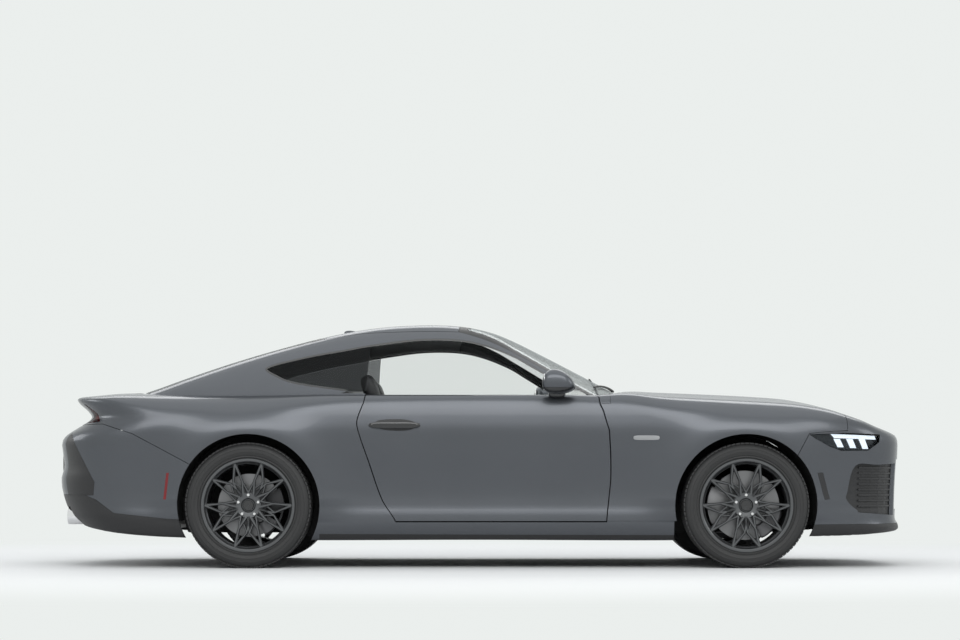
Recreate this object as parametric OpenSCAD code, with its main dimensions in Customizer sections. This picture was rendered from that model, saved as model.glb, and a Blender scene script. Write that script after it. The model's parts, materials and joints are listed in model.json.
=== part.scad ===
// Two-door fastback coupe with a long hood, built as separate panels, glass, cabin, running gear and wheels.
// +X is forwards, +Y is to the car's left and +Z is up. The origin is on the ground under the middle of the car.

/* [Overall] */
// Length of the body from bumper to bumper
body_l = 4811; // [3900:1:5800]
// Width of the body across the rear wheel arches
body_w = 1915; // [1700:1:2300]
// Height of the roof at its highest point
body_h = 1372; // [1200:1:1650]
// Distance between the front and rear axles
wheelbase = 2720; // [2350:1:3200]
// Distance from the front axle to the front bumper
front_overhang = 951; // [780:1:1150]

/* [Wheels] */
// Outer diameter of a tyre
tyre_d = 686; // [570:1:760]
// Widest width of a tyre
tyre_w = 255; // [205:1:300]
// Diameter of the rim over its flanges
rim_d = 514; // [430:1:560]
// Distance between the front wheels' middles
front_track = 1590; // [1450:1:1700]
// Distance between the rear wheels' middles
rear_track = 1616; // [1450:1:1720]
// Diameter of the front brake discs
front_disc_d = 380; // [300:1:390]
// Diameter of the rear brake discs
rear_disc_d = 346; // [280:1:360]
// Gap between a tyre and the edge of its wheel arch
arch_gap = 46; // [30:1:80]

/* [Panels] */
// Gap between two panels where one of them moves
panel_gap = 6; // [5:0.5:8]
// Thickness of the fenders, hood, trunk lid and bumpers with their inner frames
skin_t = 22; // [14:1:30]
// Thickness of a door or side wall from paint to trim
wall_t = 84; // [60:1:110]
// Thickness of the roof with its lining
roof_t = 42; // [25:1:60]
// Thickness of the window glass
glass_t = 5; // [4:0.5:8]
// Distance of the door's hinge pin behind the front edge of the door
door_pin_back = 80; // [70:1:100]

/* [Cabin] */
// Height of the floor above the ground
floor_z = 170; // [150:1:220]
// Diameter of the steering wheel
steering_wheel_d = 366; // [330:1:390]

/* [Hidden] */
$fn = 64;
eps = 0.01;
// The drawn car, which the sizes above stretch
DRAWN_L = 4811;
DRAWN_W = 1915;
DRAWN_H = 1372;
DRAWN_REAR_AXLE = -1265.5;
DRAWN_FRONT_AXLE = 1454.5;
front_axle_x = body_l / 2 - front_overhang;
rear_axle_x = front_axle_x - wheelbase;
wide = body_w / DRAWN_W;
high = body_h / DRAWN_H;
running_gap = 0.3;
wheel_z = tyre_d / 2;
arch_r = tyre_d / 2 + arch_gap;

// ---------------------------------------------------------------- colours
PAINT = [0.27, 0.28, 0.30];
BLACK = [0.05, 0.05, 0.055];
TRIM = [0.12, 0.12, 0.13];
GLASS = [0.15, 0.17, 0.18, 0.5];
ALLOY = [0.20, 0.20, 0.21];
STEEL = [0.55, 0.56, 0.58];
RUBBER = [0.06, 0.06, 0.06];
LEATHER = [0.10, 0.10, 0.11];

// ---------------------------------------------------------------- curves
function clamp(v, lo, hi) = min(max(v, lo), hi);
function span(p, x, i = 0) = i >= len(p) - 2 || x < p[i + 1][0] ? i : span(p, x, i + 1);
function slope(p, i) =
    let (a = max(i - 1, 0), b = min(i + 1, len(p) - 1)) (p[b][1] - p[a][1]) / (p[b][0] - p[a][0]);
// A smooth curve through points [position, value]
function curve(p, x) =
    let (i = span(p, x), h = p[i + 1][0] - p[i][0], t = clamp((x - p[i][0]) / h, 0, 1), u = 1 - t)
    u * u * (1 + 2 * t) * p[i][1] + t * t * (3 - 2 * t) * p[i + 1][1]
    + h * (t * u * u * slope(p, i) - t * t * u * slope(p, i + 1));
// The larger of two distances, with a soft corner of size r
function soft_max(a, b, r) = let (h = max(r - abs(a - b), 0) / r) max(a, b) + h * h * h * r / 6;
// Stretches the drawn car to the sizes at the top
function px(x) =
    x > DRAWN_FRONT_AXLE ? front_axle_x + (x - DRAWN_FRONT_AXLE) * front_overhang / (DRAWN_L / 2 - DRAWN_FRONT_AXLE)
    : x > DRAWN_REAR_AXLE ? rear_axle_x + (x - DRAWN_REAR_AXLE) * wheelbase / (DRAWN_FRONT_AXLE - DRAWN_REAR_AXLE)
    : -body_l / 2 + (x + DRAWN_L / 2) * (rear_axle_x + body_l / 2) / (DRAWN_REAR_AXLE + DRAWN_L / 2);
function py(y) = y * wide;
function pz(z) = z * high;
function place(p) = [px(p[0]), py(p[1]), pz(p[2])];

// ---------------------------------------------------------------- lines of the lower body
// Half width at the shoulder, along the car
SHOULDER = [[-2406, 850], [-2000, 900], [-1600, 922], [-1265, 928], [-800, 915], [-300, 905],
    [200, 905], [700, 915], [1100, 922], [1454, 925], [1900, 912], [2406, 870]];
// How far the side lies inside the shoulder, by height
TUCK = [[100, 95], [150, 66], [190, 46], [240, 34], [290, 34], [340, 42], [420, 44], [520, 32], [620, 15],
    [700, 4], [760, 0], [820, 5], [880, 15], [930, 30], [980, 48], [1050, 75]];
// Height of the hood, cowl and rear deck along the middle
CENTRE = [[-2406, 950], [-2320, 957], [-2200, 968], [-2000, 984], [-1700, 980], [-1200, 965], [-600, 955],
    [0, 952], [600, 962], [800, 985], [1000, 978], [1300, 966], [1560, 953], [1750, 938], [1925, 908],
    [2053, 868], [2123, 843], [2192, 812], [2262, 785], [2332, 762], [2406, 745]];
// Lower edge of the body, along the car
HEM = [[-2406, 262], [-2200, 222], [-2000, 190], [-1700, 168], [-900, 150], [0, 150], [1000, 150],
    [1800, 172], [2100, 180], [2406, 203]];
// Nose and tail seen from the side
NOSE = [[100, 2300], [160, 2350], [203, 2404], [236, 2403], [262, 2386], [320, 2380], [500, 2386], [640, 2396],
    [720, 2398], [800, 2380], [1000, 2380]];
TAIL = [[100, 2220], [232, 2290], [290, 2345], [400, 2388], [490, 2404], [560, 2384], [640, 2392], [695, 2400],
    [735, 2370], [780, 2300], [830, 2230], [870, 2248], [920, 2306], [955, 2338], [1100, 2338]];
// Softness of the edge between top and side
CREST = [[-2406, 70], [-2150, 110], [-1700, 220], [-1265, 230], [-700, 80], [600, 70], [1300, 180],
    [1900, 170], [2200, 110], [2406, 60]];
// Fall of the top surface from the middle to y = 720
CROWN = [[-2406, 34], [-1700, 30], [-1200, 12], [-800, 4], [400, 4], [800, 22], [1100, 34], [2406, 34]];
flare = 30;

// The same lines read at even steps, which is quicker than working out the curves at every point
function table(p, lo, hi, step) = [for (i = [0:ceil((hi - lo) / step) + 1]) curve(p, lo + i * step)];
function read(t, x, lo, step) = let (u = clamp((x - lo) / step, 0, len(t) - 2), i = floor(u), f = u - i) t[i] * (1 - f) + t[i + 1] * f;
SHOULDER_AT = table(SHOULDER, -2406, 2406, 12);
CENTRE_AT = table(CENTRE, -2406, 2406, 12);
CREST_AT = table(CREST, -2406, 2406, 12);
CROWN_AT = table(CROWN, -2406, 2406, 12);
HEM_AT = table(HEM, -2406, 2406, 12);
TUCK_AT = table(TUCK, 100, 1100, 4);
NOSE_AT = table(NOSE, 100, 1100, 4);
TAIL_AT = table(TAIL, 100, 1100, 4);
function along(t, x) = read(t, x, -2406, 12);
function upright(t, z) = read(t, z, 100, 4);

function bulge(x, z, axle) =
    let (r = norm([x - axle, z - 343])) z < 250 ? 0 : flare * exp(-pow(max(r - 385, 0) / 125, 2)) * min(1, (z - 250) / 120);
function side_y(x, z) =
    along(SHOULDER_AT, x) - upright(TUCK_AT, z) + bulge(x, z, DRAWN_FRONT_AXLE) + bulge(x, z, DRAWN_REAR_AXLE);
// Plan sweep of the nose and the tail
function sweep(y) = 0.00014 * y * y + 70 * pow(abs(y) / 850, 4);
function dome(x, y) = 14 * exp(-pow(y / 300, 4)) * clamp((2250 - x) / 500, 0, 1) * clamp((x - 700) / 200, 0, 1);
function top_z(x, y) = along(CENTRE_AT, x) - along(CROWN_AT, x) * pow(y / 720, 2) + dome(x, y);
// Below zero inside the lower body
function lower(p, open) =
    let (y = abs(p[1]),
        side = y - side_y(p[0], p[2]),
        nose = p[0] - upright(NOSE_AT, p[2]) + sweep(y),
        tail = -p[0] - upright(TAIL_AT, p[2]) + sweep(y),
        ring = soft_max(side, max(nose, tail), 420),
        hull = soft_max(ring, p[2] - top_z(p[0], y), along(CREST_AT, p[0])))
    open ? hull : soft_max(hull, along(HEM_AT, p[0]) - p[2], 30);

// ---------------------------------------------------------------- lines of the glasshouse
ROOF = [[-2060, 940], [-1960, 975], [-1850, 1012], [-1690, 1070], [-1415, 1162], [-1139, 1243], [-863, 1312],
    [-587, 1356], [-311, 1372], [-100, 1366], [60, 1338], [185, 1292], [334, 1219], [476, 1146], [614, 1074],
    [751, 1002], [830, 958], [900, 920]];
SILL_LINE = [[-2060, 590], [-1900, 630], [-1400, 735], [-900, 802], [-400, 830], [200, 832], [600, 812], [900, 725]];
function bow(x) = let (f = clamp((x + 900) / 1100, 0, 1)) 0.00028 * f - 0.00018 * (1 - f);
ROOF_AT = table(ROOF, -2060, 900, 10);
SILL_AT = table(SILL_LINE, -2060, 900, 10);
function roof_z(x, y) = read(ROOF_AT, clamp(x + bow(x) * y * y, -2060, 900), -2060, 10) - 26 * pow(y / 600, 2);
function glass_y(x, z) = read(SILL_AT, x, -2060, 10) - 0.55 * (z - 955) - 0.0006 * pow(max(z - 955, 0), 2);
function upper(p, open) = soft_max(abs(p[1]) - glass_y(p[0], p[2]), p[2] - roof_z(p[0], p[1]), 130);

// ---------------------------------------------------------------- surfaces
// Distance along a ray at which the shape's value reaches -deep
function value(kind, q, deep, open) = (kind == 0 ? lower(q, open) : upper(q, open)) + deep;
function reach(kind, from, dir, deep, open) =
    seek(kind, from, dir, deep, open, 0, value(kind, from, deep, open), 1500, value(kind, from + dir * 1500, deep, open), 7);
function seek(kind, from, dir, deep, open, a, va, b, vb, n) =
    let (t = clamp(b - vb * (b - a) / (vb - va), a + 0.02 * (b - a), b - 0.02 * (b - a)), v = value(kind, from + dir * t, deep, open))
    n == 0 || abs(v) < 0.02 ? t
    : v < 0 ? seek(kind, from, dir, deep, open, t, v, b, va < 0 ? vb * 0.6 : vb, n - 1)
    : seek(kind, from, dir, deep, open, a, va * 0.6, t, v, n - 1);
// Heights and widths that the rows of a half shell pass through
LOWER_ROWS = [for (z = [120, 160, 200, 260, 340, 450, 570, 690, 770, 830, 880, 915, 945]) atan2(z - 500, 915)];
CROWN_ROWS = [for (y = [850, 730, 540, 300]) atan2(460, y)];
function thin(list, step) = [for (i = [0:len(list) - 1]) if (i % step == 0) list[i]];

// Half shell of the lower body, on the +Y side: rays from a spine along the middle of the car
module half_lower(deep = 0, step = 1, open = false) {
    spine = 1480;
    fan = 8 / step;
    sides = 26 / step;
    rows = concat([-90, -50], thin(LOWER_ROWS, step), thin(CROWN_ROWS, step), [90]);
    columns = concat(
        [for (i = [0:fan - 1]) [spine, 90 * i / fan]],
        [for (i = [0:sides]) [spine - 2 * spine * i / sides, 90]],
        [for (i = [1:fan]) [-spine, 90 + 90 * i / fan]]);
    first = fan;
    last = fan + sides;
    nr = len(rows) - 2;
    nc = len(columns);
    function hit(c, row) =
        let (from = [c[0], 0, 500], dir = [cos(c[1]) * cos(row), sin(c[1]) * cos(row), sin(row)])
        place(from + dir * reach(0, from, dir, deep, open));
    points = concat(
        [for (c = columns, j = [1:nr]) let (p = hit(c, rows[j])) [p[0], abs(c[1] - 90) > 89.9 ? 0 : p[1], p[2]]],
        [for (i = [first:last]) let (p = hit(columns[i], -90)) [p[0], 0, p[2]]],
        [for (i = [first:last]) let (p = hit(columns[i], 90)) [p[0], 0, p[2]]]);
    base = nc * nr;
    crown = base + last - first + 1;
    function id(i, j) = j == 0 ? base + clamp(i, first, last) - first
        : j == nr + 1 ? crown + clamp(i, first, last) - first : i * nr + j - 1;
    quads = [for (i = [0:nc - 2], j = [0:nr]) [id(i, j), id(i, j + 1), id(i + 1, j + 1), id(i + 1, j)]];
    faces = concat(
        [for (q = quads) if (q[1] != q[2]) [q[0], q[1], q[2]]],
        [for (q = quads) if (q[0] != q[3]) [q[0], q[2], q[3]]],
        [concat([for (j = [nr:-1:1]) id(0, j)], [for (i = [first:last]) id(i, 0)],
            [for (j = [1:nr]) id(nc - 1, j)], [for (i = [last:-1:first]) id(i, nr + 1)])]);
    polyhedron(points, faces, convexity = 8);
}

// Half shell of the glasshouse, on the +Y side
module half_upper(deep = 0, step = 1) {
    stations = [for (i = [0:28 / step]) 880 - (880 + 2040) * i * step / 28];
    rows = thin([0, 10, 20, 29, 36, 42, 47, 53, 62, 75, 90], step);
    nr = len(rows);
    points = concat(
        [for (x = stations, a = rows)
            let (from = [x, 0, 850], dir = [0, cos(a), sin(a)], p = from + dir * reach(1, from, dir, deep, false))
            place([p[0], a == 90 ? 0 : p[1], p[2]])],
        [for (x = stations) place([x, 0, 850])]);
    n = len(stations);
    foot = n * nr;
    faces = concat(
        [for (i = [0:n - 2], j = [0:nr - 2]) [i * nr + j, i * nr + j + 1, (i + 1) * nr + j + 1]],
        [for (i = [0:n - 2], j = [0:nr - 2]) [i * nr + j, (i + 1) * nr + j + 1, (i + 1) * nr + j]],
        [for (i = [0:n - 2]) [foot + i, i * nr, (i + 1) * nr, foot + i + 1]],
        [for (i = [0:n - 2]) [foot + i + 1, (i + 1) * nr + nr - 1, i * nr + nr - 1, foot + i]],
        [concat([foot], [for (j = [nr - 1:-1:0]) j])],
        [concat([foot + n - 1], [for (j = [0:nr - 1]) (n - 1) * nr + j])]);
    polyhedron(points, faces, convexity = 8);
}
module both() {
    children();
    mirror([0, 1, 0]) children();
}

// ---------------------------------------------------------------- outlines seen from the side, as [x, z]
WINDOWS = [[573, 957], [484, 999], [283, 1118], [178, 1178], [20, 1239], [-140, 1269], [-357, 1269], [-608, 1236],
    [-759, 1208], [-960, 1171], [-1187, 1108], [-1122, 1050], [-1005, 1009], [-748, 971], [-657, 957]];
DOOR_FRONT = [[640, 1400], [642, 945], [685, 862], [718, 753], [718, 645], [713, 482], [696, 318], [691, 248]];
DOOR_REAR = [[-626, 1400], [-626, 945], [-669, 808], [-664, 753], [-609, 590], [-533, 373], [-473, 280], [-455, 248]];
DOOR_LOW = 256;
DOOR_TOP = 972;
BUMPER_SEAM = [[1690, 540], [1795, 735], [1860, 742], [2010, 752], [2120, 775], [2600, 800], [2600, 100], [1700, 100]];
HEADLAMP = [[1796, 729], [1990, 738], [2203, 731], [2196, 690], [2130, 645], [1974, 643], [1907, 666], [1834, 706]];
REAR_SEAM = [[-1500, 530], [-1570, 560], [-1900, 735], [-2075, 790], [-2600, 790], [-2600, 100], [-1500, 100]];
TAIL_LAMP = [[-2100, 806], [-2180, 800], [-2600, 800], [-2600, 902], [-2200, 902], [-2125, 850]];
// ---------------------------------------------------------------- outlines seen from above, as [x, y]
HOOD = [[2160, 0], [2150, 300], [2110, 520], [2040, 660], [1957, 740], [1832, 778], [1600, 778], [1300, 765],
    [1000, 752], [800, 742], [722, 735], [747, 600], [790, 420], [822, 200], [832, 0]];
COWL = [[832, 0], [822, 200], [790, 420], [747, 600], [722, 735], [712, 800], [560, 800], [560, 0]];
WINDSHIELD = [[900, 0], [860, 300], [790, 560], [700, 750], [560, 760], [-120, 545], [-100, 300], [-92, 0]];
ROOF_PLAN = [[-92, 0], [-100, 300], [-120, 545], [-500, 540], [-860, 520], [-900, 480], [-930, 0]];
BACKLIGHT = [[-930, 0], [-900, 480], [-860, 520], [-1500, 560], [-1900, 560], [-1935, 300], [-1942, 0]];
LID = [[-1952, 0], [-1946, 300], [-1930, 500], [-1925, 575], [-2100, 592], [-2600, 592], [-2600, 0]];

// Solids swept from the outlines, drawn wide enough to cut right through
module from_side(outline, grow = 0, y0 = -20, y1 = 1200)
    translate([0, y1, 0]) rotate([90, 0, 0]) linear_extrude(y1 - y0)
        offset(delta = grow) polygon([for (p = outline) [px(p[0]), pz(p[1])]]);
module from_above(outline, grow = 0, z0 = 100, z1 = 1500)
    translate([0, 0, z0]) linear_extrude(z1 - z0)
        offset(delta = grow) polygon([for (p = outline) [px(p[0]), py(p[1])]]);
module box(x0, x1, y0, y1, z0, z1)
    translate([x0, y0, z0]) cube([x1 - x0, y1 - y0, z1 - z0]);

// ---------------------------------------------------------------- door hinge
door_x = px(718) - door_pin_back;
door_y = py(868);
// Space that a door fills and sweeps near its edges; its faces turn about the hinge pin
module door_space(grow = 0, bottom = DOOR_LOW) {
    translate([door_x, door_y, 0]) {
        rotate_extrude($fn = 60) polygon(concat([[0, pz(bottom) - grow], [abs(px(DOOR_FRONT[7][0]) - door_x) + grow, pz(bottom) - grow]],
            [for (i = [6:-1:0]) [max(px(DOOR_FRONT[i][0]) - door_x, 2) + grow, pz(DOOR_FRONT[i][1])]], [[0, pz(1400)]]));
        intersection() {
            rotate_extrude($fn = 120) polygon(concat([[0, pz(bottom) - grow], [door_x - px(DOOR_REAR[7][0]) + grow, pz(bottom) - grow]],
                [for (i = [6:-1:0]) [door_x - px(DOOR_REAR[i][0]) + grow, pz(DOOR_REAR[i][1])]], [[0, pz(1400)]]));
            translate([grow - 3000, -600, 0]) cube([3000, 1200, 1500]);
        }
    }
}
// Two door hinges: a bracket from the pillar behind the fender, with a pin that stands in the door
hinge_z = [pz(400), pz(700)];
hinge_pin_r = 8;
module door_brackets() for (z = hinge_z) translate([door_x, door_y, z]) {
    cylinder(r = hinge_pin_r, h = 90, center = true, $fn = 20);
    cylinder(r = 14, h = 40, center = true, $fn = 20);
    box(-12, 12, -104, 0, -18, 18);
    box(-12, 150, -104, -92, -18, 18);
    box(125, 150, -104, -20, -18, 18);
}
// Room in the door for a bracket while the door swings
module bracket_room() for (z = hinge_z) translate([door_x, door_y, z]) {
    cylinder(r = hinge_pin_r + running_gap, h = 100, center = true, $fn = 20);
    cylinder(r = 21, h = 52, center = true, $fn = 20);
    translate([0, 0, -26]) linear_extrude(52) polygon([[0, 0], [-24, 0], [-24, -160], [160, -160], [160, -40], [20, 12]]);
}
// Hinge lines of the hood and the trunk lid: x and z
hood_axis = [px(712), pz(955)];
trunk_axis = [px(-1912), pz(962)];
small_pin_r = 3.5;
module arch_cut(x, r = arch_r, y0 = 300)
    translate([x, y0, wheel_z]) rotate([-90, 0, 0]) cylinder(r = r, h = 1400, $fn = 72);

// Left half of the body, and of the hollow inside it at a depth
module body_out() {
    half_lower();
    half_upper();
}
module body_in(side, top) {
    half_lower(deep = side, step = 2, open = true);
    half_upper(deep = top, step = 2);
}
// Every skin panel is cut in one go from its mesh
module skin() resize([0, 0, 0]) children();

// ---------------------------------------------------------------- panels
// Side of the body: sill, quarter panel, pillars and roof rail
module body_side() skin() {
    body_side_shell();
    door_brackets();
    // Trunk hinge pin in the strip below the rear window
    translate([trunk_axis[0], py(545) - 20, trunk_axis[1]]) rotate([-90, 0, 0]) cylinder(r = small_pin_r, h = 40, $fn = 20);
}
module body_side_shell() difference() {
    union() {
        difference() {
            body_out();
            body_in(wall_t, roof_t);
            box(px(640), px(3000), -50, 2000, 0, pz(900));
            box(px(712), px(3000), -50, 2000, 0, 2000);
        }
        // Inner panel that carries the fender
        intersection() {
            difference() {
                half_lower(deep = skin_t + 0.4, step = 1, open = true);
                half_lower(deep = wall_t, step = 2, open = true);
            }
            box(px(639), px(880), py(640), 1200, pz(200), pz(900) + 1);
        }
        intersection() {
            difference() {
                half_lower();
                half_lower(deep = wall_t, step = 2, open = true);
            }
            box(px(639), px(1062), py(500), 1200, 0, pz(256) - 0.4);
        }
    }
    // The rail over the door stays, so the door's own space ends just above its shoulder
    intersection() {
        door_space(panel_gap);
        box(px(-900), px(900), 0, 1200, 0, pz(DOOR_TOP));
    }
    arch_cut(front_axle_x);
    arch_cut(rear_axle_x);
    from_side(WINDOWS);
    from_side(REAR_SEAM);
    from_side(TAIL_LAMP, y0 = 560);
    from_above(LID, grow = panel_gap, z0 = pz(780));
    from_above(BACKLIGHT, grow = 0.4, z0 = pz(960));
    from_above(ROOF_PLAN, grow = 0.4, z0 = pz(1150));
    from_above(WINDSHIELD, grow = 0.4, z0 = pz(950));
    intersection() {
        from_above(COWL, grow = 0.8, z0 = pz(800));
        box(px(500), px(1200), 0, py(735) + 0.4, 0, 2000);
    }
    translate([trunk_axis[0], py(545), trunk_axis[1]]) box(-10, 10, -14, 14, -25, 40);
    // Trim line of the door opening and the trunk's floor edge
    box(px(-2500), px(1200), -60, py(500), 0, pz(1000));
    box(px(-1940), px(1200), -60, py(500), 0, pz(1100));
}
module left_body_side() color(PAINT) body_side();
module right_body_side() color(PAINT) mirror([0, 1, 0]) body_side();

module fender() skin() difference() {
    intersection() {
        difference() {
            half_lower();
            half_lower(deep = skin_t, step = 1, open = true);
        }
        box(px(500), px(2010), -10, 2000, pz(256), 2000);
    }
    door_space(panel_gap);
    translate([0, -100, 0]) cube([px(712.4), 700, 2000]);
    translate([0, -100, pz(900) - 0.4]) cube([px(712) + 0.4, 2000, 2000]);
    arch_cut(front_axle_x);
    from_above(HOOD, grow = 8);
    from_above(COWL, grow = 0.4);
    from_side(BUMPER_SEAM);
    from_side(HEADLAMP);
    translate([0, 0, 0]) cube([px(642), 2000, 2000]);
}
module left_fender() color(PAINT) fender();
module right_fender() color(PAINT) mirror([0, 1, 0]) fender();

module hood_half() intersection() {
    difference() {
        half_lower();
        half_lower(deep = skin_t, step = 1, open = true);
    }
    from_above(HOOD, z0 = pz(600), z1 = pz(1200));
}
// Half of the hood with its hinge eye
module hood_side() difference() {
    union() {
        hood_half();
        translate([hood_axis[0], py(560), hood_axis[1]]) {
            rotate([90, 0, 0]) cylinder(r = 8, h = 16, center = true, $fn = 20);
            box(0, 60, -8, 8, -8, 6);
        }
    }
    translate([hood_axis[0], py(560), hood_axis[1]]) rotate([90, 0, 0])
        cylinder(r = small_pin_r + running_gap, h = 40, center = true, $fn = 20);
}
module hood() color(PAINT) skin() { hood_side(); mirror([0, 1, 0]) hood_side(); }

// Strip between the hood and the windshield
module cowl_half() difference() {
    intersection() {
        difference() {
            half_lower();
            half_lower(deep = skin_t, step = 1, open = true);
        }
        union() {
            from_above(COWL, grow = -0.4, z0 = pz(600), z1 = pz(1200));
            box(px(600), px(780), -1, 300, pz(600), pz(1200));
        }
    }
    from_above(HOOD, grow = 8);
    half_upper(deep = roof_t);
    door_space(panel_gap);
    box(px(500), px(1200), py(735), 1200, 0, 2000);
    translate([hood_axis[0], py(560), hood_axis[1]]) box(-13, 80, -14, 14, -40, 60);
}
module cowl_side() {
    cowl_half();
    translate([hood_axis[0], py(560) - 20, hood_axis[1]]) rotate([-90, 0, 0]) cylinder(r = small_pin_r, h = 40, $fn = 20);
}
module cowl() color(BLACK) skin() { cowl_side(); mirror([0, 1, 0]) cowl_side(); }

module front_bumper_half() difference() {
    intersection() {
        difference() {
            half_lower();
            half_lower(deep = skin_t, step = 1, open = true);
        }
        union() {
            from_side(BUMPER_SEAM, grow = -0.4);
            difference() {
                box(px(2010) + 0.4, px(2600), -1, 1200, pz(700), pz(1000));
                from_side(HEADLAMP);
            }
        }
    }
    from_above(HOOD, grow = 8, z0 = pz(600));
    from_side(HEADLAMP);
    arch_cut(front_axle_x);
    from_side(GRILLE, y1 = py(560));
}
GRILLE = [[2200, 320], [2600, 320], [2600, 600], [2200, 600]];
module front_bumper() color(PAINT) skin() { front_bumper_half(); mirror([0, 1, 0]) front_bumper_half(); }

module rear_bumper_half() difference() {
    intersection() {
        difference() {
            half_lower();
            half_lower(deep = skin_t, step = 1, open = true);
        }
        from_side(REAR_SEAM, grow = -0.4);
    }
    arch_cut(rear_axle_x);
    box(px(-3000), px(-1930), -10, py(592) + panel_gap, pz(784), pz(1000));
    // Openings for the exhaust tips and the flat for the number plate
    box(px(-3000), px(-2120), py(370), py(595), 0, pz(floor_z) + 165);
    box(px(-3000), plate_x, -10, 268, plate_z - 62, plate_z + 62);
}
plate_x = px(-2382);
plate_z = pz(590);
// Blank holder for a number plate, with its two bolt holes
module plate_holder() color(BLACK) difference() {
    box(plate_x - 8.3, plate_x - 0.3, -262, 262, plate_z - 56, plate_z + 56);
    for (y = [-89, 89]) translate([plate_x - 20, y, plate_z + 36]) rotate([0, 90, 0]) cylinder(r = 3.2, h = 30);
}
module rear_bumper() color(PAINT) skin() { rear_bumper_half(); mirror([0, 1, 0]) rear_bumper_half(); }

module lid_half() intersection() {
    difference() {
        half_lower();
        half_lower(deep = skin_t, step = 1, open = true);
    }
    from_above(LID, z0 = pz(791), z1 = pz(1200));
}
module lid_side() difference() {
    union() {
        lid_half();
        translate([trunk_axis[0], py(545), trunk_axis[1]]) {
            rotate([90, 0, 0]) cylinder(r = 6.5, h = 16, center = true, $fn = 20);
            box(-30, 0, -8, 8, -6.5, 3);
        }
    }
    translate([trunk_axis[0], py(545), trunk_axis[1]]) rotate([90, 0, 0])
        cylinder(r = small_pin_r + running_gap, h = 30, center = true, $fn = 20);
}
module trunk_lid() color(PAINT) skin() { lid_side(); mirror([0, 1, 0]) lid_side(); }

// A shell of the glasshouse cut to an outline
module upper_shell(t) difference() {
    half_upper();
    half_upper(deep = t);
}
module roof_half() intersection() {
    upper_shell(roof_t);
    from_above(ROOF_PLAN, z0 = pz(1150), z1 = pz(1500));
}
module roof() color(PAINT) skin() {
    roof_half();
    mirror([0, 1, 0]) roof_half();
    // Fin over the aerial
    translate([px(-700), 0, pz(1330)]) difference() {
        scale([1, 0.3, 1]) cylinder(r1 = 75, r2 = 30, h = 62, $fn = 24);
        translate([-100, -50, -10]) cube([200, 100, 15]);
    }
}
module windshield_half() difference() {
    intersection() {
        upper_shell(glass_t);
        from_above(WINDSHIELD, z0 = pz(900), z1 = pz(1500));
    }
    half_lower(deep = -0.5);
    from_side(WINDOWS, grow = 12);
}
module windshield() color(GLASS) skin() { windshield_half(); mirror([0, 1, 0]) windshield_half(); }
module rear_window_half() difference() {
    intersection() {
        upper_shell(glass_t);
        from_above(BACKLIGHT, z0 = pz(900), z1 = pz(1500));
    }
    half_lower(deep = -0.5);
}
module rear_window() color(GLASS) skin() { rear_window_half(); mirror([0, 1, 0]) rear_window_half(); }

module quarter_window() intersection() {
    upper_shell(glass_t);
    from_side(WINDOWS, grow = -0.4);
    difference() {
        box(px(-1400), px(-600), py(200), 1200, pz(900), pz(1400));
        door_space(panel_gap);
    }
}
module quarter_windows() color(GLASS) skin() { quarter_window(); mirror([0, 1, 0]) quarter_window(); }

module door() skin() difference() {
    intersection() {
        difference() {
            half_lower();
            half_lower(deep = wall_t, step = 2, open = true);
        }
        box(px(-900), px(900), py(748), 1200, pz(DOOR_LOW), pz(1100));
        door_space();
    }
    bracket_room();
}
module left_door() color(PAINT) door();
module right_door() color(PAINT) mirror([0, 1, 0]) door();

module door_glass() skin() difference() {
    intersection() {
        upper_shell(glass_t);
        union() {
            from_side(WINDOWS, grow = -panel_gap);
            box(px(-600), px(540), py(200), 1200, pz(930), pz(966));
        }
        door_space(-1);
        box(px(-800), px(700), py(200), 1200, pz(930), pz(1400));
    }
    half_lower(deep = -0.5);
}
module left_door_glass() color(GLASS) door_glass();
module right_door_glass() color(GLASS) mirror([0, 1, 0]) door_glass();

// Door mirror on a short foot that stands on the door's shoulder
module door_mirror() skin() difference() {
    union() {
        hull() {
            translate([px(450), py(925), pz(1010)]) sphere(r = 58, $fn = 16);
            translate([px(450), py(962), pz(1010)]) sphere(r = 58, $fn = 16);
            translate([px(370), py(930), pz(1008)]) sphere(r = 66, $fn = 16);
            translate([px(370), py(965), pz(1008)]) sphere(r = 66, $fn = 16);
        }
        hull() {
            translate([px(430), py(905), pz(975)]) cube([60, 40, 20], center = true);
            translate([px(440), py(855), pz(945)]) cube([90, 26, 30], center = true);
        }
    }
    half_lower(deep = -0.5);
    box(px(200), px(352), 0, 1500, 0, 2000);
}
module left_mirror() color(PAINT) door_mirror();
module right_mirror() color(PAINT) mirror([0, 1, 0]) door_mirror();

module headlamp() intersection() {
    difference() {
        half_lower();
        half_lower(deep = skin_t, step = 1, open = true);
    }
    from_side(HEADLAMP, grow = -0.4);
}
module headlamps() color(GLASS) skin() { headlamp(); mirror([0, 1, 0]) headlamp(); }
module tail_lamp() intersection() {
    difference() {
        half_lower();
        half_lower(deep = skin_t, step = 1, open = true);
    }
    from_side(TAIL_LAMP, grow = -0.4, y0 = py(600));
    box(px(-3000), px(-1900), py(600), 1200, 0, 2000);
}
module tail_lamps() color([0.5, 0.03, 0.04]) skin() { tail_lamp(); mirror([0, 1, 0]) tail_lamp(); }

module grille_half() intersection() {
    difference() {
        half_lower();
        half_lower(deep = skin_t, step = 2, open = true);
    }
    from_side(GRILLE, grow = -0.4, y1 = py(560) - 0.4);
}
module grille() color(BLACK) skin() { grille_half(); mirror([0, 1, 0]) grille_half(); }

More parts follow.
